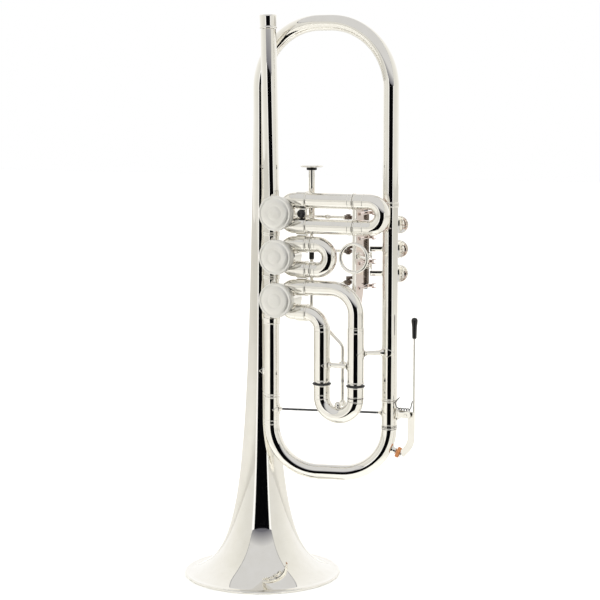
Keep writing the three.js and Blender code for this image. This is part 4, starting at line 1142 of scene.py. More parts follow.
@dataclass
class ValveSlides(Assembly):
    """The three valve slides, their sleeves and the block that steadies the first pair."""

    first_end: float = 91.0
    second_end: float = 54.6
    first_bow: float = 104.2
    second_bow: float = 59.4
    left_x: float = 63.3
    right_x: float = 92.6
    right_bend: float = 20.0
    left_bend: float = 13.5
    sleeve_end_z: float = 171.0
    third_bow_z: float = 158.7
    third_leg_top_z: float = 207.0
    third_r: float = 6.55
    ferrule_z: float = 216.5
    sleeve_line_z: tuple[float, float] = (214.8, 211.9)
    slide_line_z: tuple[float, float] = (160.3, 156.9)
    collar_start: float = 42.0
    collar_end: float = 51.0
    block_x: float = 46.9

    def sleeve(
        self, route: Route, end: float, lines: tuple[float, ...] = (), thick_from: float = 0.0
    ) -> Draft:
        """Make a sleeve that starts under a collar and ends in a lip.

        Args:
            route: Centre line from the collar on; its distances are measured from the collar's start.
            end: Distance of the sleeve's open end.
            lines: Distances of fine raised lines.
            thick_from: Where a thicker ferrule begins, or nought where there is none.

        Returns:
            The sleeve's mesh.
        """
        collar = self.collar_end - self.collar_start
        lap = STUB_END + 0.3 - self.collar_start
        r = TUBING.collar_r
        socket_r = TUBING.sleeve_r + 0.3
        outline: Outline = [(lap, TUBING.bore_r), (lap, socket_r), (0, socket_r), (0, r - 0.2), (0.2, r)]
        outline += [(collar - 1.2, r), *bead(collar - 1.2, 1.2, r - 0.25, 0.45), (collar, TUBING.sleeve_r)]
        thick_r = TUBING.sleeve_r
        if thick_from:
            thick_r = self.third_r
            outline += [(thick_from, TUBING.sleeve_r), (thick_from + 0.3, thick_r)]
        for at in lines:
            outline += TUBING.line_at(at, thick_r)
        lip = end - TUBING.lip_wide
        outline += [(lip, thick_r), *TUBING.lip_at(lip, thick_r), (end, TUBING.bore_r)]
        return Draft().sweep(route, outline, 56)

    def slide(
        self, route: Route, shoulder: float, lines: tuple[float, ...], radius: float = TUBING.sleeve_r,
    ) -> Draft:
        """Make a slide: thin legs, a lip at each shoulder, and the bow between them.

        Args:
            route: Centre line from the tip of one leg to the tip of the other.
            shoulder: Distance of the shoulder from each tip.
            lines: Distances of raised lines from each tip.
            radius: The bow's radius.

        Returns:
            The slide's mesh.
        """
        long = route.length
        near: Outline = [(0, TUBING.leg_r - 0.15), (0.3, TUBING.leg_r), (shoulder, TUBING.leg_r)]
        near += TUBING.lip_at(shoulder, radius)
        far: Outline = [(long - s, r) for s, r in reversed(near)]
        for at in sorted(lines):
            near += TUBING.line_at(at, radius)
        for at in sorted(lines, reverse=True):
            far = TUBING.line_at(long - at, radius) + far
        return Draft().sweep(route, hollow(near + far, TUBING.leg_bore_r), 56)

    def cross_sleeves(self) -> None:
        """Make the four straight sleeves of the first and the second slide."""
        for word, z, end in zip(("first", "second"), VALVE_Z, (self.first_end, self.second_end)):
            for side, sign in (("upper", 1), ("lower", -1)):
                start = Vector((self.collar_start, LINE.y, z + sign * LOOP_HALF))
                route = straight(start, start + Vector((60, 0, 0)))
                lines = (self.first_end - self.collar_start - 4.2,) if word == "first" else ()
                draft = self.sleeve(route, end - self.collar_start, lines)
                if word == "first" and side == "upper":
                    TriggerRod(self.bench).add_eye(draft, start.z)
                if word == "first" and side == "lower":
                    self.add_block(draft)
                node = f"{word}_slide_sleeve_{side}"
                self.bench.place(f"{word}_sleeve_{side}_skin", draft, Coat.SILVER, nodes=(node,))

    def add_block(self, draft: Draft) -> None:
        """Add the upright block between the first pair of collars."""
        reach = LOOP_HALF - TUBING.collar_r
        draft.bar(*in_line(*((self.block_x, VALVE_Z[0] + s * reach - 0.3) for s in (-1, 1))), 5.1, 5.0, Y)

    def build(self) -> None:
        """Make the sleeves, the slides, the knob and the rubber rings."""
        self.cross_sleeves()
        knob_at = Vector((self.block_x, LINE.y - 2.2, VALVE_Z[0] - 0.4))
        cap = [(0, 0), (0, 3.0), (1.2, 3.0), (1.4, 3.35), (2.6, 3.35), (3.2, 2.9), (3.5, 1.8), (3.5, 0)]
        cap_draft = Draft().sweep(straight(knob_at, knob_at - Y), cap, 40)
        self.bench.place("first_block_knob", cap_draft, Coat.BLACK_PLASTIC, slot="black_rubber")
        for number, word, end, bow, leg, line in (
            (1, "first", self.first_end, self.first_bow, 50.0, 99.3),
            (2, "second", self.second_end, self.second_bow, 39.0, 58.6),
        ):
            z, shoulder, far = VALVE_Z[number - 1], end + 0.3, bow + LOOP_HALF
            high, low = z + LOOP_HALF, z - LOOP_HALF
            corners = in_line((leg, high), (far, high), (far, low), (leg, low))
            draft = self.slide(Route(corners, LOOP_HALF - 0.01, 5), shoulder - leg, (line - leg,))
            self.bench.place(f"{word}_slide_bow", draft, Coat.SILVER, f"slide_{number}", (f"{word}_slide",))
        self.third()

    def third(self) -> None:
        """Make the bent sleeves, the slide and the rubber rings of the third valve."""
        for word, leg_x, sign, bend in (
            ("upper", self.right_x, 1, self.right_bend),
            ("lower", self.left_x, -1, self.left_bend),
        ):
            start_z = VALVE_Z[2] + sign * LOOP_HALF
            corners = in_line((self.collar_start, start_z), (leg_x, start_z), (leg_x, 0))
            route = Route(corners, bend, 4)
            down = route.stops[-1] + start_z - bend
            lines = tuple(down - z for z in self.sleeve_line_z)
            draft = self.sleeve(route, down - self.sleeve_end_z, lines, down - self.ferrule_z)
            if word == "upper":
                self.add_brace(draft)
            node = f"third_slide_sleeve_{word}"
            self.bench.place(f"third_sleeve_{word}_skin", draft, Coat.SILVER, nodes=(node,))
        self.third_bow()
        ring_z, r_mid, r_half, thick_half = self.sleeve_end_z - 1.9, 6.65, 1.05, 0.7
        turns = [FULL_TURN * i / 16 for i in range(16)]
        ring = [(ring_z + thick_half * math.sin(a), r_mid + r_half * math.cos(a)) for a in turns]
        for word, x in (("left", self.left_x), ("right", self.right_x)):
            bumper = Draft().sweep(up_from(x, LINE.y, 0), ring, 56)
            node = f"third_slide_bumper_{word}"
            self.bench.place(
                f"third_ring_{word}", bumper, Coat.RUBBER, "slide_3", (node,), "black_rubber", 60,
            )

    def third_bow(self) -> None:
        """Make the third slide, with the foot on its bow that the trigger rod stands in."""
        half = (self.right_x - self.left_x) / 2
        low, top = self.third_bow_z - half, self.third_leg_top_z
        corners = in_line((self.left_x, top), (self.left_x, low), (self.right_x, low), (self.right_x, top))
        lines = tuple(top - z for z in self.slide_line_z)
        shoulder = top - (self.sleeve_end_z - 2.4)
        draft = self.slide(Route(corners, half - 0.01, 4), shoulder, lines, self.third_r)
        bottom = Vector((TriggerRod.low_x - 0.6, LINE.y, low + self.third_r - 1.0))
        knuckle = bottom + Vector((0, 0, 3.0))
        draft.rod(bottom, knuckle, 2.2)
        draft.ball(knuckle, 2.7)
        socket = Vector((TriggerRod.low_x, TriggerRod.low_y - 2.0, TriggerRod.foot_z))
        draft.rod(knuckle + Vector((0, 0.6, 0)), socket, 1.5)
        self.bench.place("third_slide_bow", draft, Coat.SILVER, "slide_3", ("third_slide",))

    def add_brace(self, draft: Draft) -> None:
        """Add the stay between the third slide's sleeves with the eye for the trigger rod.

        Args:
            draft: The mesh that gets it.
        """
        z = TriggerRod.guide_z
        left, right = Vector((self.left_x, LINE.y, z)), Vector((self.right_x, LINE.y, z))
        draft.rod(left + Vector((6.8, 0, 0)), right - Vector((6.2, 0, 0)), 1.9)
        for tube, way in ((left, 1), (right, -1)):
            draft.saddle(tube, Z, Vector((way, 0, 0)), self.third_r, 11.0, 17.0)
            edge = tube + Vector((way * 6.8, 0, 0))
            cone = [(0, 0), (0, 3.4), (1.0, 2.4), (1.8, 1.9), (1.8, 0)]
            draft.sweep(straight(edge, edge + Vector((way, 0, 0))), cone, 32)
        x, y = TriggerRod.low_x, TriggerRod.low_y
        draft.bar(Vector((x, LINE.y + 1.2, z)), Vector((x, y - 2.2, z)), 2.0, 2.4, Z)
        eye = [(-2.0, 1.6), (-2.0, 2.9), (-1.6, 3.1), (1.6, 3.1), (2.0, 2.9), (2.0, 1.6)]
        draft.sweep(up_from(x, y, z), eye, 32)


@dataclass
class TriggerRod(Assembly):
    """The third slide's trigger: thumb disc, plunger and the bent rod down to the slide."""

    x: float = 49.6
    y: float = -10.0
    low_x: float = 78.0
    low_y: float = -12.2
    guide_z: float = 184.6
    disc_z: float = 342.5
    disc_r: float = 9.2
    plunger_r: float = 2.45
    plunger_low_z: float = 296.0
    rod_r: float = 1.3
    jog_top_z: float = 225.2
    jog_low_z: float = 199.5
    foot_z: float = 153.0
    ball_r: float = 2.8
    stop_z: tuple[float, float] = (268.2, 275.6)

    def add_eye(self, draft: Draft, z: float) -> None:
        """Add the upright guide behind the first slide's upper sleeve.

        Args:
            draft: The mesh that gets it.
            z: The height of the sleeve that carries it.
        """
        r = self.plunger_r + 0.3
        eye = [(-4.5, r), (-4.5, r + 1.1), *bead(-4.2, 1.2, r + 1.2, 0.3)]
        eye += [*bead(3.0, 1.2, r + 1.2, 0.3), (4.5, r + 1.1), (4.5, r)]
        draft.sweep(up_from(self.x, self.y, z), eye, 40)
        draft.bar(Vector((self.x, LINE.y + 6.0, z)), Vector((self.x, self.y - 2.9, z)), 3.0, 8.4, Z)

    def build(self) -> None:
        """Make the rod with its ball foot, the disc, and the rubber washer under it."""
        corners = [Vector((self.x, self.y, z)) for z in (self.plunger_low_z + 1, self.jog_top_z)]
        corners += [Vector((self.low_x, self.low_y, z)) for z in (self.jog_low_z, self.foot_z)]
        route = Route(corners, 7.0, 5)
        draft = Draft().sweep(route, eased(0, route.length, self.rod_r), 24)
        axis = up_from(self.x, self.y, 0)
        r, low, top = self.plunger_r, self.plunger_low_z, self.disc_z
        draft.sweep(axis, [(low, 0), (low, 1.6), (low + 1.2, r), (top - 2.4, r), (top - 2.4, 0)], 40)
        draft.ball(Vector((self.low_x, self.low_y, self.foot_z)), self.ball_r)
        self.bench.place("trigger_rod_shaft", draft, Coat.SILVER, "slide_3", ("trigger_rod",))
        low, high = self.stop_z
        stop = [(low, 0), (low, 1.7), (low + 0.4, 2.0), (high - 0.4, 2.0), (high, 1.7), (high, 0)]
        stop_draft = Draft().sweep(axis, stop, 40)
        self.bench.place("trigger_stop", stop_draft, Coat.RUBBER, "slide_3", slot="black_rubber")
        r = self.disc_r
        disc = [(top - 0.3, 0), (top - 0.3, 5.0), (top, r - 1.2), (top + 0.3, r - 0.3), (top + 0.8, r)]
        disc += [(top + 1.3, r - 0.3), (top + 1.6, r - 1.0), (top + 1.3, r - 3.0), (top + 1.1, 0)]
        disc_draft = Draft().sweep(axis, disc, 64)
        self.bench.place("trigger_disc", disc_draft, Coat.SILVER, "slide_3", crease_deg=60)
        washer = [(top - 2.4, 0), (top - 2.4, 3.6), (top - 2.1, 4.1), (top - 0.8, 4.2)]
        washer += [(top - 0.4, 3.7), (top - 0.4, 0)]
        washer_draft = Draft().sweep(axis, washer, 48)
        self.bench.place("trigger_washer", washer_draft, Coat.RUBBER, "slide_3", slot="black_rubber")


@dataclass
class MainSlide(Assembly):
    """The main tuning slide below the valves, its cross stay and the drain nipple."""

    leg_top_z: float = 212.0
    shoulder_z: float = 155.7
    bow_z: float = 133.0
    bend_r: float = 38.5
    stay_z: float = 145.2
    rod_r: float = 0.9
    rod_inset: float = 8.5
    line_z: tuple[float, float] = (135.9, 133.0)
    drain_share: float = 0.394

    @property
    def plane(self) -> Matrix:
        """Give the frame of the slide's slanting plane: X along its bottom, Z up."""
        span = RETURN - LINE
        return Matrix.Translation((LINE + RETURN) / 2) @ Matrix.Rotation(math.atan2(span.y, span.x), 4, "Z")

    @property
    def half(self) -> float:
        """Give half the distance between the legs."""
        return (RETURN - LINE).length / 2

    @property
    def drain_axis(self) -> Route:
        """Give the route along the drain, measured from the bow's centre line."""
        return straight(self.drain(0), self.drain(20))

    def drain(self, out: float) -> Vector:
        """Give a point on the drain's axis, at a distance from the bow's centre line.

        Args:
            out: Distance outwards from the bow's centre line.

        Returns:
            The point, in millimetres.
        """
        turn = math.asin(self.drain_share)
        far = self.bend_r + out
        along = self.half - self.bend_r + far * math.cos(turn)
        return self.plane @ Vector((along, 0, self.bow_z - far * math.sin(turn)))

    def build(self) -> None:
        """Make the slide."""
        low = self.bow_z - self.bend_r
        half, top = self.half, self.leg_top_z
        places = ((-half, top), (-half, low), (half, low), (half, top))
        corners = [self.plane @ Vector((x, 0, z)) for x, z in places]
        shoulder = top - self.shoulder_z
        lines = tuple(top - z for z in self.line_z)
        draft = ValveSlides(self.bench).slide(Route(corners, self.bend_r, 2.5), shoulder, lines)
        for side in (-1, 1):
            tube = self.plane @ Vector((side * half, 0, self.stay_z))
            inward = (self.plane.to_3x3() @ Vector((-side, 0, 0))).normalized()
            draft.saddle(tube, Z, inward, TUBING.sleeve_r, 8.6, 17.0)
            cone = straight(tube + inward * 6.3, tube + inward * 12)
            draft.sweep(cone, [(0, 0), (0, 2.9), (0.8, 2.2), (1.8, 1.4), (2.6, 1.05), (2.6, 0)], 32)
        reach = half - self.rod_inset
        # The cross rod is coloured dark grey: a painted dark reflection on a silver rod.
        stay = Draft().rod(*(self.plane @ Vector((x, 0, self.stay_z)) for x in (-reach, reach)), self.rod_r)
        self.bench.place("main_slide_cross_rod", stay, Coat.DARK_STEEL_AND_PAINTED_REFLECTION, "main_slide", slot="steel")
        outline = [(5.6, 1.2), (5.6, 3.8), (6.6, 3.7), (7.0, 2.7), (9.2, 2.6)]
        outline += [(9.6, 2.2), (9.8, 1.6), (9.6, 1.2)]
        draft.sweep(self.drain_axis, outline, 32)
        self.bench.place("main_slide_bow", draft, Coat.SILVER, "main_slide", ("main_tuning_slide",))


@dataclass
class WaterKey(Assembly):
    """The long water key: saddle, lever with its black thumb tip, and the cork over the drain."""

    slide: MainSlide
    pivot: Vector = field(default_factory=lambda: Vector((128.9, 0.0, 145.1)))
    thumb_x: float = 134.7
    thumb_top_z: float = 224.0
    tip_low_z: float = 207.0
    wire_r: float = 0.75
    plate_wide: float = 5.6
    plate_thick: float = 1.6

    def build(self) -> None:
        """Make the saddle, the key, its tip and its cork."""
        self.saddle()
        self.key()
        route = up_from(self.thumb_x, 0, self.tip_low_z)
        high = self.thumb_top_z - self.tip_low_z
        tip = [(0, 0), (0, 1.4), (0.5, 1.75), (3, 1.85), (high * 0.55, 2.0), (high - 4.6, 2.35)]
        tip += [(high - 2.6, 2.59), (high - 1.0, 2.2), (high - 0.25, 1.2), (high, 0)]
        self.bench.place(
            "water_key_tip", Draft().sweep(route, tip, 40), Coat.BLACK_PLASTIC, "water_key",
            slot="black_rubber", crease_deg=70,
        )
        pad = [(10.1, 0), (10.1, 4.1), (10.4, 4.4), (12.8, 4.4), (13.1, 4.1), (13.1, 0)]
        cork = Draft().sweep(self.slide.drain_axis, pad, 40)
        self.bench.place("water_key_pad", cork, Coat.CORK, "water_key", ("water_key_cork",), "cork")

    def saddle(self) -> None:
        """Make the saddle: a flange on the leg, a front ear, a rear ear and the pin."""
        p = self.pivot
        draft = Draft()
        leg = Vector((RETURN.x, 0, p.z))
        draft.saddle(leg, Z, X, TUBING.sleeve_r + 0.3, 11.0, 8.6)
        draft.bar(leg + Vector((7.0, 0, 0)), leg + Vector((8.6, 0, 0)), 8.6, 9.0, Z)
        ear = [(-6.1, -2.2), (3.5, -2.6), (4.4, 0.2), (3.6, 2.6), (1.1, 3.4)]
        ear += [(-1.9, 2.4), (-4.7, 2.2), (-6.8, 3.2), (-7.7, 2.4)]
        draft.plate([p + Vector((x, -3.3, z)) for x, z in ear], 1.1, Y)
        rear = Vector((p.x, 3.3, p.z))
        draft.bar(Vector((RETURN.x + 8.0, 3.3, p.z + 0.6)), rear, 1.2, 4.4, Z)
        draft.rod(p + Vector((0, 2.7, 0)), p + Vector((0, 3.9, 0)), 2.8, 32)
        draft.rod(p - Vector((0, 4.5, 0)), p + Vector((0, 4.5, 0)), 1.1)
        self.bench.place("water_key_bracket", draft, Coat.SILVER, "main_slide", ("water_key_saddle",))
        self.spring()

    def spring(self) -> None:
        """Make the return spring above the ear: an unbroken coil with a leg at each end."""
        middle = self.pivot + Vector((-1.2, -3.6, 4.7))
        coils, coil_r, wire_r, half = 5, 0.95, 0.42, 5.4
        points = []
        for i in range(coils * 8 + 1):
            turn = FULL_TURN * i / 8
            x = half * (i / (coils * 4) - 1)
            points.append(middle + Vector((x, coil_r * math.sin(turn), coil_r * math.cos(turn))))
        coil = Route(points, 0.8, 22.5)
        draft = Draft().sweep(coil, eased(0, coil.length, wire_r), 12)
        for start, joints in (
            (points[0], ((-7.8, 6.4), (-9.0, 9.7), (-5.3, 14.0))),
            (points[-1], ((4.6, 6.6), (5.8, 11.8))),
        ):
            here = start
            for x, z in joints:
                there = Vector((self.pivot.x + x, middle.y, self.pivot.z + z))
                draft.rod(here, there, wire_r)
                draft.ball(there, wire_r)
                here = there
        self.bench.place("water_key_spring", draft, Coat.DARK_STEEL_AND_PAINTED_REFLECTION, "main_slide", slot="steel")

    def key(self) -> None:
        """Make the lever: flat plate from the pivot round to the cork cup, and the wire up to the tip."""
        p = self.pivot
        draft = Draft()
        draft.sweep(straight(p, p + Y), [(-2.4, 1.4), (-2.4, 2.5), (2.4, 2.5), (2.4, 1.4)], 32)
        cup_far = self.slide.drain(15.2)
        corners = [
            p + Vector((3.7, 0, 2.4)), p + Vector((3.7, 0, -24.6)), Vector((cup_far.x, 0, cup_far.z)),
        ]
        middle = Route(corners, 15.0, 6)
        near, far = [], []
        for distance in (0.0, *middle.stops[1:-1], middle.length):
            place, way = middle.at(distance)
            across = Y.cross(way).normalized() * self.plate_wide / 2
            near.append(place + across)
            far.append(place - across)
        draft.plate(near + far[::-1], self.plate_thick, Y)
        cup = [(13.4, 0), (13.4, 3.3), (13.8, 3.5), (14.3, 3.4), (14.9, 2.2), (15.0, 0)]
        draft.sweep(self.slide.drain_axis, cup, 40)
        wire = straight(Vector((self.thumb_x, 0, p.z + 1.0)), Vector((self.thumb_x, 0, self.tip_low_z + 2)))
        draft.sweep(wire, eased(0, wire.length, self.wire_r), 24)
        self.bench.place("water_key_lever", draft, Coat.SILVER, "water_key", ("water_key",))


@dataclass
class Stay(Assembly):
    """A round stay between two tubes, with a cone and a rhombic flange at each end."""

    name: str
    node: str
    start: Vector
    end: Vector
    start_r: float
    end_r: float
    rod_r: float = 1.9
    flange: tuple[float, float] = (8.4, 12.0)
    cone_r: float = 3.3

    def build(self) -> None:
        """Make the stay."""
        way = (self.end - self.start).normalized()
        low, high = self.start + way * (self.start_r + 0.2), self.end - way * (self.end_r + 0.2)
        draft = Draft().rod(low, high, self.rod_r, 32)
        for tube, out, radius in ((self.start, way, self.start_r), (self.end, -way, self.end_r)):
            draft.saddle(tube, Z, out, radius, *self.flange)
            root = tube + out * (radius + 0.2)
            r, waist = self.cone_r, max(self.cone_r * 0.64, self.rod_r)
            cone = [(0, 0), (0, r), (0.9, r * 0.88), (2.0, waist), (2.6, self.rod_r), (2.6, 0)]
            draft.sweep(straight(root, root + out), cone, 32)
        self.bench.place(self.name, draft, Coat.SILVER, nodes=(self.node,))


@dataclass
class LeverGroup(Assembly):
    """The carrier bar with its lugs, the axle, three levers with their links, and the finger ring."""

    axle: Vector = field(default_factory=lambda: Vector((87.0, 14.0, 0.0)))
    rail: Vector = field(default_factory=lambda: Vector((88.4, -8.0, 0.0)))
    ball: Vector = field(default_factory=lambda: Vector((79.5, -5.0, 0.0)))
    plate: Vector = field(default_factory=lambda: Vector((112.7, 23.0, 0.0)))
    rail_wide: float = 3.2
    rail_front_y: float = -13.4
    rail_back_y: float = 2.0
    rail_low_z: float = 233.0
    rail_high_z: float = 318.0
    axle_top_z: float = 307.0
    pitch: float = 19.8
    lug_thick: float = 2.6
    fine_edge: float = 0.15
    ball_z: tuple[float, float, float] = (302.6, 275.5, 250.5)
    bar_side: tuple[int, int, int] = (-1, 1, 1)
    link_end_y: float = -3.2
    arm_tilt: float = math.radians(22)
    pin_r: float = 5.29

    def build(self) -> None:
        """Make the carrier, the axle, the levers, the links and the ring."""
        self.carrier()
        axle = Draft()
        low = self.axle_top_z - self.pitch * 3 - self.lug_thick - 1.8
        top = self.axle_top_z
        pin = [(low, 0), (low, 1.3), (low + 0.5, 1.8), (top + 0.2, 1.8)]
        pin += [(top + 1.6, 1.7), (top + 1.8, 1.2), (top + 1.8, 0)]
        axle.sweep(up_from(self.axle.x, self.axle.y, 0), pin, 32)
        self.bench.place("lever_axle_rod", axle, Coat.STEEL, nodes=("lever_axle",), slot="steel")
        for i in range(3):
            self.lever(i)
            self.link(i)
            self.bench.recoat(f"lever_spring_{i + 1}", Coat.SILVER)
        self.finger_ring()

    def carrier(self) -> None:
        """Make the square-edged bar with its pointed foot, four lugs and two stays to the return tube."""
        low, high = self.rail_low_z, self.rail_high_z
        front, back = self.rail_front_y, self.rail_back_y
        chamfer, point_high = 0.9, 10.0
        outline = [(front + chamfer, high), (front, high - chamfer), (front, low + point_high)]
        outline += [((front + 3 * back) / 4, low), (back, low + point_high)]
        outline += [(back, high - chamfer), (back - chamfer, high)]
        corners = [Vector((self.rail.x, y, z)) for y, z in outline]
        draft = Draft().plate(corners, self.rail_wide, X, 0.35)
        ends = [Vector((self.rail.x, front - 0.4, z)) for z in (low + 10.5, high - 1.5)]
        edge = Draft().bar(*ends, self.rail_wide, 0.8, Y, self.fine_edge)
        self.bench.place("lever_carrier_edge", edge, Coat.SILVER)
        for i in range(4):
            self.add_lug(draft, self.axle_top_z - self.pitch * i - self.lug_thick / 2)
        for z, radius in ((295.0, 6.45), (314.0, 7.35)):
            start, end = Vector((self.rail.x, self.rail.y, z)), Vector((RETURN.x, RETURN.y, z))
            way = (end - start).normalized()
            root = end - way * (radius + 0.2)
            draft.rod(start + way * 3, root, 1.9, 32)
            draft.saddle(end, Z, -way, radius - 0.25, 7.4, 22.0)
            cone = [(0, 0), (0, 3.0), (0.9, 2.6), (1.8, 1.9), (1.8, 0)]
            draft.sweep(straight(root, root - way), cone, 32)
        self.bench.place("lever_carrier_rail", draft, Coat.WARM_SILVER, nodes=("lever_carrier",))

    def add_lug(self, draft: Draft, z: float) -> None:
        """Add a lug from the bar to the axle, with its eye, its nose and the two thin plates on it.

        Args:
            draft: The mesh that gets it.
            z: The height of its middle.
        """
        rail, axle = self.rail + Vector((0, 0, z)), self.axle + Vector((0, 0, z))
        draft.bar(rail, axle, 5.8, self.lug_thick, Z)
        nose = axle + Vector((3.8, 0, 0))
        draft.bar(nose, nose + Vector((2.8, 0, 0)), 3.4, 2.4, Z, self.fine_edge)
        for rise in (-1.5, 1.5):
            root = axle + Vector((6.2, 0, rise))
            draft.bar(root, root + Vector((2.4, 0, 0)), 4.6, 0.7, Z, self.fine_edge)
        h = self.lug_thick / 2
        eye = [(-h, 2.1), (-h, 4.1), (-h + 0.3, 4.4), (h - 0.3, 4.4), (h, 4.1), (h, 2.1)]
        draft.sweep(straight(axle, axle + Z), eye, 40)

    def lever(self, i: int) -> None:
        """Make one lever: finger arm with its domed plate, and the dark brownish-grey hub with the inner
        arm and pin.

        Args:
            i: The lever's number from the top, from nought.
        """
        low = self.axle_top_z - self.pitch * (i + 1) + 0.3
        high = self.axle_top_z - self.pitch * i - self.lug_thick - 0.3
        draft = Draft()
        hub = [(low, 2.1), (low, 2.5), (low + 0.2, 2.7), (high - 0.2, 2.7), (high, 2.5), (high, 2.1)]
        crank = Draft().sweep(up_from(self.axle.x, self.axle.y, 0), hub, 40)
        lift = Vector((0, 0, (low + high) / 2))
        centre, plate = self.axle + lift, self.plate + lift
        arm = (plate - centre).normalized()
        facing = Matrix.Rotation(math.pi / 2, 3, "Z") @ arm
        tilted = (Vector((0, 0, -math.sin(self.arm_tilt))) - facing * math.cos(self.arm_tilt)).normalized()
        draft.bar(centre + arm * 3.4, plate - arm * 5.2 + facing * 0.9, 4.4, 1.3, tilted, 0.3)
        draft.sweep(straight(plate, plate + facing), self.dish(), 56)
        side = self.bar_side[i]
        bar = Vector((0, 0, self.ball_z[i] + side * 3.3))
        pin_top = self.ball + bar
        crank.bar(self.axle + bar, pin_top, 3.4, 2.6, Z)
        h = 1.4
        pin = [(-h, 0), (-h, 1.5), (-h + 0.3, 1.7), (h, 1.7), (h, 1.3)]
        pin += [(5.1, 1.3), (5.1, 1.9), (5.9, 1.8), (6.0, 1.3), (6.0, 0)]
        crank.sweep(straight(pin_top, pin_top - Vector((0, 0, side))), pin, 32)
        self.bench.place(f"lever_{i + 1}_arm", draft, Coat.SILVER, f"lever_{i + 1}", (f"lever_{i + 1}",))
        self.bench.place(f"lever_{i + 1}_crank", crank, Coat.DARK_BROWNISH_GREY, f"lever_{i + 1}", slot="steel")

    @staticmethod
    def dish() -> Outline:
        """Give the finger plate's section: a shallow bowl of sheet, hollow on its inner side.

        Returns:
            Distances and radii.
        """
        radius, rim_z, crown_z, sheet = 7.2, -0.9, 2.6, 0.75
        shares = [i / 8 for i in range(9)]
        crown = [
            (rim_z + 0.3 + (crown_z - rim_z - 0.3) * (1 - t * t), radius * t)
            for t in reversed(shares)
        ]
        hollow_side = [
            (rim_z + (crown_z - sheet - rim_z) * (1 - t * t), (radius - 0.5) * t)
            for t in shares
        ]
        return crown + hollow_side

    def link(self, i: int) -> None:
        """Make one link: an eye on the lever's pin, a thin rod and the button over the stop arm.

        Args:
            i: The lever's number from the top, from nought.
        """
        up = -1 if i == 0 else 1
        shift = self.pin_r * math.sqrt(0.5)
        end = Vector((VALVE_X + shift, self.link_end_y, VALVE_Z[i] + up * shift))
        start = self.ball + Vector((0, 0, self.ball_z[i]))
        ring = [(-1.5, 1.6), (-1.5, 2.7), (-1.0, 3.1), (1.0, 3.1), (1.5, 2.7), (1.5, 1.6)]
        eye = Draft().sweep(up_from(*start), ring, 40)
        self.bench.place(f"link_{i + 1}_eye", eye, Coat.DARK_BROWNISH_GREY, f"link_{i + 1}", slot="steel")
        draft = Draft()
        way = (end - start).normalized()
        rod = straight(start + way * 2.6, end)
        long = rod.length
        swell = long * 0.3
        outline = [(0, 0), (0, 2.0), (1.0, 2.0), (1.6, 1.1), (swell, 1.1), *bead(swell, 5, 1.1, 0.8)]
        outline += [(long - 5, 1.1), (long - 4, 1.7), (long, 1.7), (long, 0)]
        draft.sweep(rod, outline, 32)
        button = [(0, 0), (0, 2.1), (0.3, 2.5), (1.0, 2.6), (1.7, 2.5), (2.0, 2.1), (2.0, 0)]
        draft.sweep(straight(end - Y, end), button, 40)
        self.bench.place(f"link_{i + 1}_rod", draft, Coat.SILVER, f"link_{i + 1}", (f"link_{i + 1}",))

    def finger_ring(self) -> None:
        """Make the finger ring on its strut."""
        centre = Vector((95.2, -32.0, 272.8))
        ring_r, wire_r = 11.2, 1.35
        route = straight(centre, centre + Y)
        turns = [FULL_TURN * k / 20 for k in range(20)]
        ring = [(wire_r * math.sin(a), ring_r + wire_r * math.cos(a)) for a in turns]
        draft = Draft().sweep(route, ring, 96)
        edge = centre + Vector((ring_r, 0, 0))
        way = (Vector((self.rail.x, self.rail.y, centre.z)) - edge).normalized()
        face_x = self.rail.x + self.rail_wide / 2 + 0.3
        strut = straight(edge, edge + way * ((face_x - edge.x) / way.x))
        long = strut.length
        outline = [(0.3, 0), (0.3, 1.3), (long * 0.5, 1.7), (long - 2.4, 2.0)]
        outline += [(long - 2.0, 2.8), (long - 0.4, 2.8), (long, 2.3), (long, 0)]
        draft.sweep(strut, outline, 32)
        self.bench.place("finger_ring_loop", draft, Coat.SILVER, nodes=("finger_ring",), crease_deg=60)


def build_knuckle_rings(bench: Bench) -> None:
    """Make the thin bands over the joints between the casings.

    Args:
        bench: Where the pieces are put together.
    """
    for i in range(2):
        z = VALVE_Z[i] - 17.5
        r = TUBING.sleeve_r + 0.3
        band = [(-1.5, r), (-1.5, r + 0.2), *bead(-1.4, 1.1, r + 0.15, 0.3)]
        band += [*bead(0.3, 1.1, r + 0.15, 0.3), (1.5, r + 0.2), (1.5, r)]
        draft = Draft().sweep(up_from(LINE.x, LINE.y, z), band, 56)
        bench.place(f"knuckle_band_{i + 1}", draft, Coat.SILVER, nodes=(f"knuckle_ring_{i + 1}",))


@dataclass
class Card:
    """An upright curved card of the light tent, seen only in the metal."""

    name: str
    from_deg: float
    to_deg: float
    low_mm: float
    high_mm: float
    out_mm: float
    colour: str
    strength: float = 1.0
    top_colour: str | None = None
    ramp_mm: float = 700.0


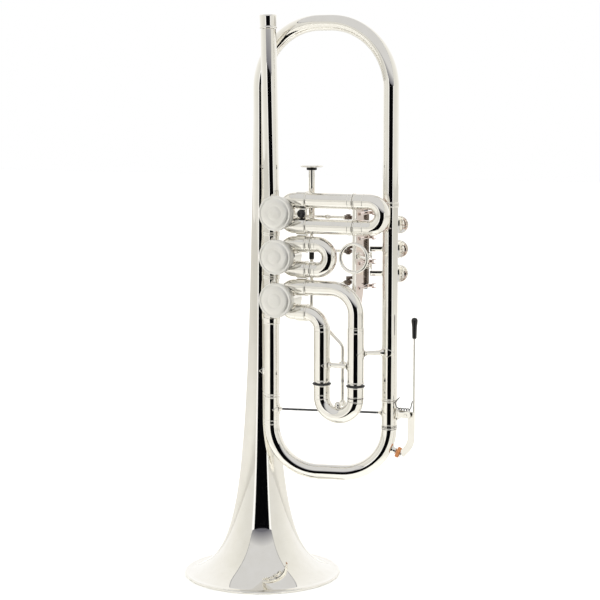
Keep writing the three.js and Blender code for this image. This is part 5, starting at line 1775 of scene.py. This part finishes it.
@dataclass
class Studio(Assembly):
    """The white table, the light tent with its dark gap, two soft lamps and the camera.

    The metal shows the tent: white all round, a dark gap behind the camera up to the lens's
    height, and pale grey above it.
    """

    yaw_deg: float = 24.0
    distance: float = 1400.0
    lens_z: float = 404.0
    pitch_deg: float = 7.03
    aside: float = 31.8
    focal_px: float = 1704.0
    frame_px: float = 600.0
    gap_half_deg: float = 28.0
    dark: str = "060608"
    tent_level: float = 1.08
    bright_out: float = 215.0
    tent_out: float = 1500.0
    tent_high: float = 470.0
    facet_deg: float = 4.0
    floor_near: float = 270.0
    canopy_slope: float = 0.75
    canopy_half: float = 900.0
    seam_wide: float = 22.0
    lamp_size: float = 1.2

    def seat(self) -> Vector:
        """Give the bell axis on the table, in metres."""
        return Vector((self.bench.origin.x, self.bench.origin.y, 0.0))

    def glow(self, card: Card) -> bpy.types.Material:
        """Make a card's plain light, with a ramp up to its top colour where it has one.

        Args:
            card: The card.

        Returns:
            Its material.
        """
        made = bpy.data.materials.new(card.name)
        made.use_nodes = True
        tree = made.node_tree
        tree.nodes.clear()
        light = add_node(
            tree, "ShaderNodeEmission", {"Color": srgb(card.colour), "Strength": card.strength},
        )
        if card.top_colour:
            place = add_node(tree, "ShaderNodeTexCoord").outputs["Object"]
            split = add_node(tree, "ShaderNodeSeparateXYZ", Vector=place)
            rise = add_node(
                tree, "ShaderNodeMapRange",
                {"From Min": card.low_mm * MM, "From Max": (card.low_mm + card.ramp_mm) * MM},
                Value=split.outputs["Z"],
            )
            colours = {"data_type": "RGBA", MIX_A: srgb(card.colour), MIX_B: srgb(card.top_colour)}
            tint = add_node(tree, "ShaderNodeMix", colours, Factor=rise.outputs["Result"])
            tree.links.new(tint.outputs[MIX_COLOUR], light.inputs["Color"])
        out = add_node(tree, "ShaderNodeOutputMaterial")
        tree.links.new(light.outputs["Emission"], out.inputs["Surface"])
        return made

    def wall(self, card: Card) -> None:
        """Hang one upright card of the tent round the bell axis."""
        steps = max(2, round((card.to_deg - card.from_deg) / self.facet_deg))
        self.arc(card, steps, lambda aside: ((card.out_mm, card.low_mm), (card.out_mm, card.high_mm)))

    def level(self, card: Card, near: float, straight_edge: bool = False) -> None:
        """Lay a level wedge of the tent, from its inner edge out to the ring of the cards.

        Args:
            card: Its turns, its height, how far out it ends and its colour.
            near: How far out its inner edge is.
            straight_edge: Whether that edge is straight, where the canopy meets it.
        """
        self.arc(card, 12, lambda aside: (
            (near / math.cos(aside) if straight_edge else near, card.low_mm),
            (card.out_mm, card.low_mm),
        ))

    def arc(
        self,
        card: Card,
        steps: int,
        edges: Callable[[float], tuple[tuple[float, float], tuple[float, float]]],
    ) -> None:
        """Hang a strip of the tent that runs round the bell axis between two edges.

        Args:
            card: Its turns and its colour.
            steps: Facets along it.
            edges: Gives how far out and how high both edges are, at a turn from the lens's line.
        """
        seat = self.seat()
        points, faces = [], []
        for i in range(steps + 1):
            aside = math.radians(card.from_deg + (card.to_deg - card.from_deg) * i / steps)
            turn = math.radians(self.yaw_deg) + aside
            for out, z in edges(aside):
                points.append(seat + Vector((math.sin(turn) * out, -math.cos(turn) * out, z)) * MM)
            if i:
                faces.append((2 * i - 2, 2 * i, 2 * i + 1, 2 * i - 1))
        self.hang(card.name, points, faces, self.glow(card))

    def canopy(self, card: Card, sides: tuple[float, float]) -> None:
        """Hang a strip that rises from the top of the dark gap back over the object.

        Args:
            card: Its colours, its lowest and its greatest height, and how far out it begins.
            sides: Its left and right edges, from the lens's line.
        """
        seat = self.seat()
        turn = math.radians(self.yaw_deg)
        ahead = Vector((math.sin(turn), -math.cos(turn), 0))
        aside = Vector((math.cos(turn), math.sin(turn), 0))
        back = card.out_mm - (card.high_mm - card.low_mm) / self.canopy_slope
        points = [
            seat + (ahead * out + aside * side + Vector((0, 0, z))) * MM
            for out, side, z in (
                (card.out_mm, sides[0], card.low_mm), (card.out_mm, sides[1], card.low_mm),
                (back, sides[1], card.high_mm), (back, sides[0], card.high_mm),
            )
        ]
        self.hang(card.name, points, [(0, 1, 2, 3)], self.glow(card))

    def hang(
        self, name: str, points: list[Vector], faces: list[tuple[int, ...]], material: bpy.types.Material,
    ) -> None:
        """Put a tent piece in the scene so that only the metal sees it.

        Args:
            name: Its name.
            points: Its corners, in metres.
            faces: Its faces.
            material: Its light.
        """
        mesh = bpy.data.meshes.new(name)
        mesh.from_pydata(points, [], faces)
        mesh.materials.append(material)
        piece = bpy.data.objects.new(name, mesh)
        bpy.context.scene.collection.objects.link(piece)
        piece.visible_camera = False
        piece.visible_diffuse = False
        piece.visible_shadow = False
        piece.visible_transmission = False

    def table(self) -> None:
        """Make the white table: a painted pool of light about the foot, painted darker farther out, and
        plain white to the lens.
        """
        size, ramp_half = 6.0, 25.0
        mesh = bpy.data.meshes.new("table")
        corners = [(-size, -size, 0), (size, -size, 0), (size, size, 0), (-size, size, 0)]
        mesh.from_pydata(corners, [], [(0, 1, 2, 3)])
        made = bpy.data.materials.new("white_laminate")
        made.use_nodes = True
        tree = made.node_tree
        shader = tree.nodes["Principled BSDF"]
        place = add_node(tree, "ShaderNodeTexCoord").outputs["Object"]
        centre = {"operation": "DISTANCE", 1: self.seat()}
        reach = add_node(tree, "ShaderNodeVectorMath", centre, Vector=place)
        bright = self.bright_out
        ring = {"From Min": (bright - ramp_half) * MM, "From Max": (bright + ramp_half) * MM}
        far = add_node(tree, "ShaderNodeMapRange", ring, Value=reach.outputs["Value"]).outputs["Result"]
        grain = {"Scale": pattern_scale(40), "Detail": 2.0}
        mottle = add_node(tree, "ShaderNodeTexNoise", grain, Vector=place).outputs["Fac"]
        # The base colour is painted shade: fbfbfa near the foot falls to e2e1de farther out, a painted pool
        # of light that the metal shows in its reflections. The lens-only emission is weaker near the foot,
        # so the table is white to the lens and the real contact shadow still shows.
        near_tint, tint, fill = (
            add_node(
                tree, "ShaderNodeMix", {"data_type": "RGBA", MIX_A: srgb(a), MIX_B: srgb(b)}, Factor=by,
            )
            for a, b, by in (
                ("fbfbfa", "f7f7f5", mottle),
                ("fbfbfa", "e2e1de", far),
                ("4c4c4c", "b4b4b4", far),
            )
        )
        path = add_node(tree, "ShaderNodeLightPath")
        tree.links.new(near_tint.outputs[MIX_COLOUR], tint.inputs[MIX_A])
        tree.links.new(tint.outputs[MIX_COLOUR], shader.inputs["Base Color"])
        tree.links.new(fill.outputs[MIX_COLOUR], shader.inputs["Emission Color"])
        tree.links.new(path.outputs["Is Camera Ray"], shader.inputs["Emission Strength"])
        shader.inputs["Roughness"].default_value = 0.6
        shader.inputs["Specular IOR Level"].default_value = 0.1
        mesh.materials.append(made)
        piece = bpy.data.objects.new("table", mesh)
        bpy.context.scene.collection.objects.link(piece)

    def world(self) -> None:
        """Light the scene from all round, brightest behind the object, and show white to the lens."""
        world = bpy.data.worlds.new("light_tent")
        world.use_nodes = True
        tree = world.node_tree
        tree.nodes.clear()
        turn = math.radians(self.yaw_deg)
        away = {"operation": "DOT_PRODUCT", 1: (-math.sin(turn), math.cos(turn), 0.0)}
        place = add_node(tree, "ShaderNodeTexCoord").outputs["Generated"]
        behind = add_node(tree, "ShaderNodeVectorMath", away, Vector=place)
        share = add_node(tree, "ShaderNodeMapRange", {"From Min": -1.0}, Value=behind.outputs["Value"])
        ramp = add_node(tree, "ShaderNodeValToRGB", Fac=share.outputs["Result"])
        elements = ramp.color_ramp.elements
        elements[0].color = srgb("e0dfdb")
        elements[1].color = srgb("ffffff")
        for at, colour in ((0.25, "e2e1dc"), (0.37, "e6e5e0"), (0.56, "eeede8"), (0.75, "f5f4f1")):
            elements.new(at).color = srgb(colour)
        path = add_node(tree, "ShaderNodeLightPath")
        soft = add_node(
            tree, "ShaderNodeBackground", {"Strength": self.tent_level}, Color=ramp.outputs["Color"],
        )
        white = add_node(tree, "ShaderNodeBackground", {"Color": srgb("ffffff"), "Strength": 1.0})
        mix = add_node(tree, "ShaderNodeMixShader")
        tree.links.new(path.outputs["Is Camera Ray"], mix.inputs[0])
        tree.links.new(soft.outputs[0], mix.inputs[1])
        tree.links.new(white.outputs[0], mix.inputs[2])
        out = add_node(tree, "ShaderNodeOutputWorld")
        tree.links.new(mix.outputs[0], out.inputs["Surface"])
        bpy.context.scene.world = world

    def lamps(self) -> None:
        """Hang two soft lamps, at the left and above, for the shadow and the matt pieces."""
        seat = self.seat()
        for name, turn_deg, out, high, watts in (
            ("lamp_left", -50, 1.3, 1.5, 14.0),
            ("lamp_right", 95, 1.4, 1.6, 9.0),
        ):
            turn = math.radians(self.yaw_deg + turn_deg)
            light = bpy.data.lights.new(name, "AREA")
            light.energy = watts
            light.size = self.lamp_size
            lamp = bpy.data.objects.new(name, light)
            lamp.location = seat + Vector((math.sin(turn) * out, -math.cos(turn) * out, high))
            aim = seat + Vector((0, 0, 0.2)) - lamp.location
            lamp.rotation_mode = "QUATERNION"
            lamp.rotation_quaternion = aim.to_track_quat("-Z", "Y")
            lamp.visible_glossy = False
            bpy.context.scene.collection.objects.link(lamp)

    def camera(self) -> None:
        """Set the camera at the photograph's place."""
        turn, pitch = math.radians(self.yaw_deg), math.radians(self.pitch_deg)
        s, c = math.sin(turn), math.cos(turn)
        place = Vector(
            (self.distance * s + self.aside * c, -self.distance * c + self.aside * s, self.lens_z),
        )
        look = Vector((-s * math.cos(pitch), c * math.cos(pitch), -math.sin(pitch)))
        data = bpy.data.cameras.new("lens")
        data.sensor_width = 36.0
        data.lens = self.focal_px / self.frame_px * data.sensor_width
        data.clip_end = 50.0
        lens = bpy.data.objects.new("lens", data)
        lens.location = self.seat() + place * MM
        lens.rotation_mode = "QUATERNION"
        lens.rotation_quaternion = look.to_track_quat("-Z", "Y")
        bpy.context.scene.collection.objects.link(lens)
        bpy.context.scene.camera = lens

    def build(self) -> None:
        """Set the whole studio up."""
        gap, far, top = self.gap_half_deg, self.tent_out, self.tent_high
        for card in (
            Card("tent_dark_gap", -gap, gap, 0, top, far, self.dark),
            Card("tent_bright_left", -gap - 9, -gap, 0, top, far + 20, "ffffff", 1.15),
            Card("tent_bright_right", gap, gap + 7, 0, top, far + 20, "ffffff", 1.15),
        ):
            self.wall(card)
        near = far * math.cos(math.radians(gap))
        wide, outer = self.canopy_half, self.canopy_half + self.seam_wide
        for name, sides, low, colour, top_colour in (
            ("grey", (-wide, wide), top, "7c7c84", "dededf"),
            ("seam_left", (-outer, -wide), top + 50, "74747a", "74747a"),
            ("seam_right", (wide, outer), top + 50, "74747a", "74747a"),
        ):
            begin = near - (low - top) / self.canopy_slope
            card = Card(f"tent_canopy_{name}", 0, 0, low, 6000, begin, colour, 1.0, top_colour, 190)
            self.canopy(card, sides)
        self.level(Card("tent_dark_floor", -gap, gap, 1.0, 1.0, far, self.dark), self.floor_near)
        self.level(Card("tent_grey_lid", -gap, gap, top, top, far, "6c6c75"), near, straight_edge=True)
        self.table()
        self.world()
        self.lamps()
        self.camera()
        view = bpy.context.scene.view_settings
        view.view_transform = "Standard"
        log.info("studio ready")


def build_stays(bench: Bench, bell: BellAndBow, leadpipe: Leadpipe) -> None:
    """Make the stays from the bell to the leadpipe and the lower sleeve, and the one to the return tube.

    Args:
        bench: Where the pieces are put together.
        bell: The bell, which two of them hold.
        leadpipe: The leadpipe, which one holds.
    """
    upper_z, lower_z, return_z = 341.7, 174.0, 195.0
    third_leg = Vector((ValveSlides.right_x, LINE.y, return_z))
    pipe = Vector((leadpipe.x_at(upper_z), LINE.y, upper_z))
    sleeve = Vector((LINE.x, LINE.y, lower_z))
    for stay in (
        Stay(
            bench, "leadpipe_stay_rod", "leadpipe_stay", Z * upper_z, pipe, bell.flare(upper_z), 6.25,
            rod_r=1.7, flange=(3.4, 9.0), cone_r=1.9,
        ),
        Stay(
            bench, "bell_stay_rod", "bell_stay", Z * lower_z, sleeve, bell.flare(lower_z), TUBING.sleeve_r,
        ),
        Stay(
            bench, "return_stay_rod", "return_stay", third_leg, Vector((RETURN.x, 0, return_z)),
            ValveSlides.third_r, bell.return_r, flange=(11.5, 25.0),
        ),
    ):
        stay.build()


def main() -> None:
    """Build the instrument part by part, then the studio, and log how many pieces were made."""
    logging.basicConfig(level=logging.INFO, format="%(name)s: %(message)s")
    bench = Bench()
    bell = BellAndBow(bench)
    bell.build()
    leadpipe = Leadpipe(bench)
    leadpipe.build()
    for number in (1, 2, 3):
        Valve(bench, number).build()
    build_knuckle_rings(bench)
    ValveSlides(bench).build()
    TriggerRod(bench).build()
    slide = MainSlide(bench)
    slide.build()
    WaterKey(bench, slide).build()
    build_stays(bench, bell, leadpipe)
    LeverGroup(bench).build()
    Studio(bench).build()
    log.info("%d pieces made", bench.made)


if __name__ == "__main__":
    main()
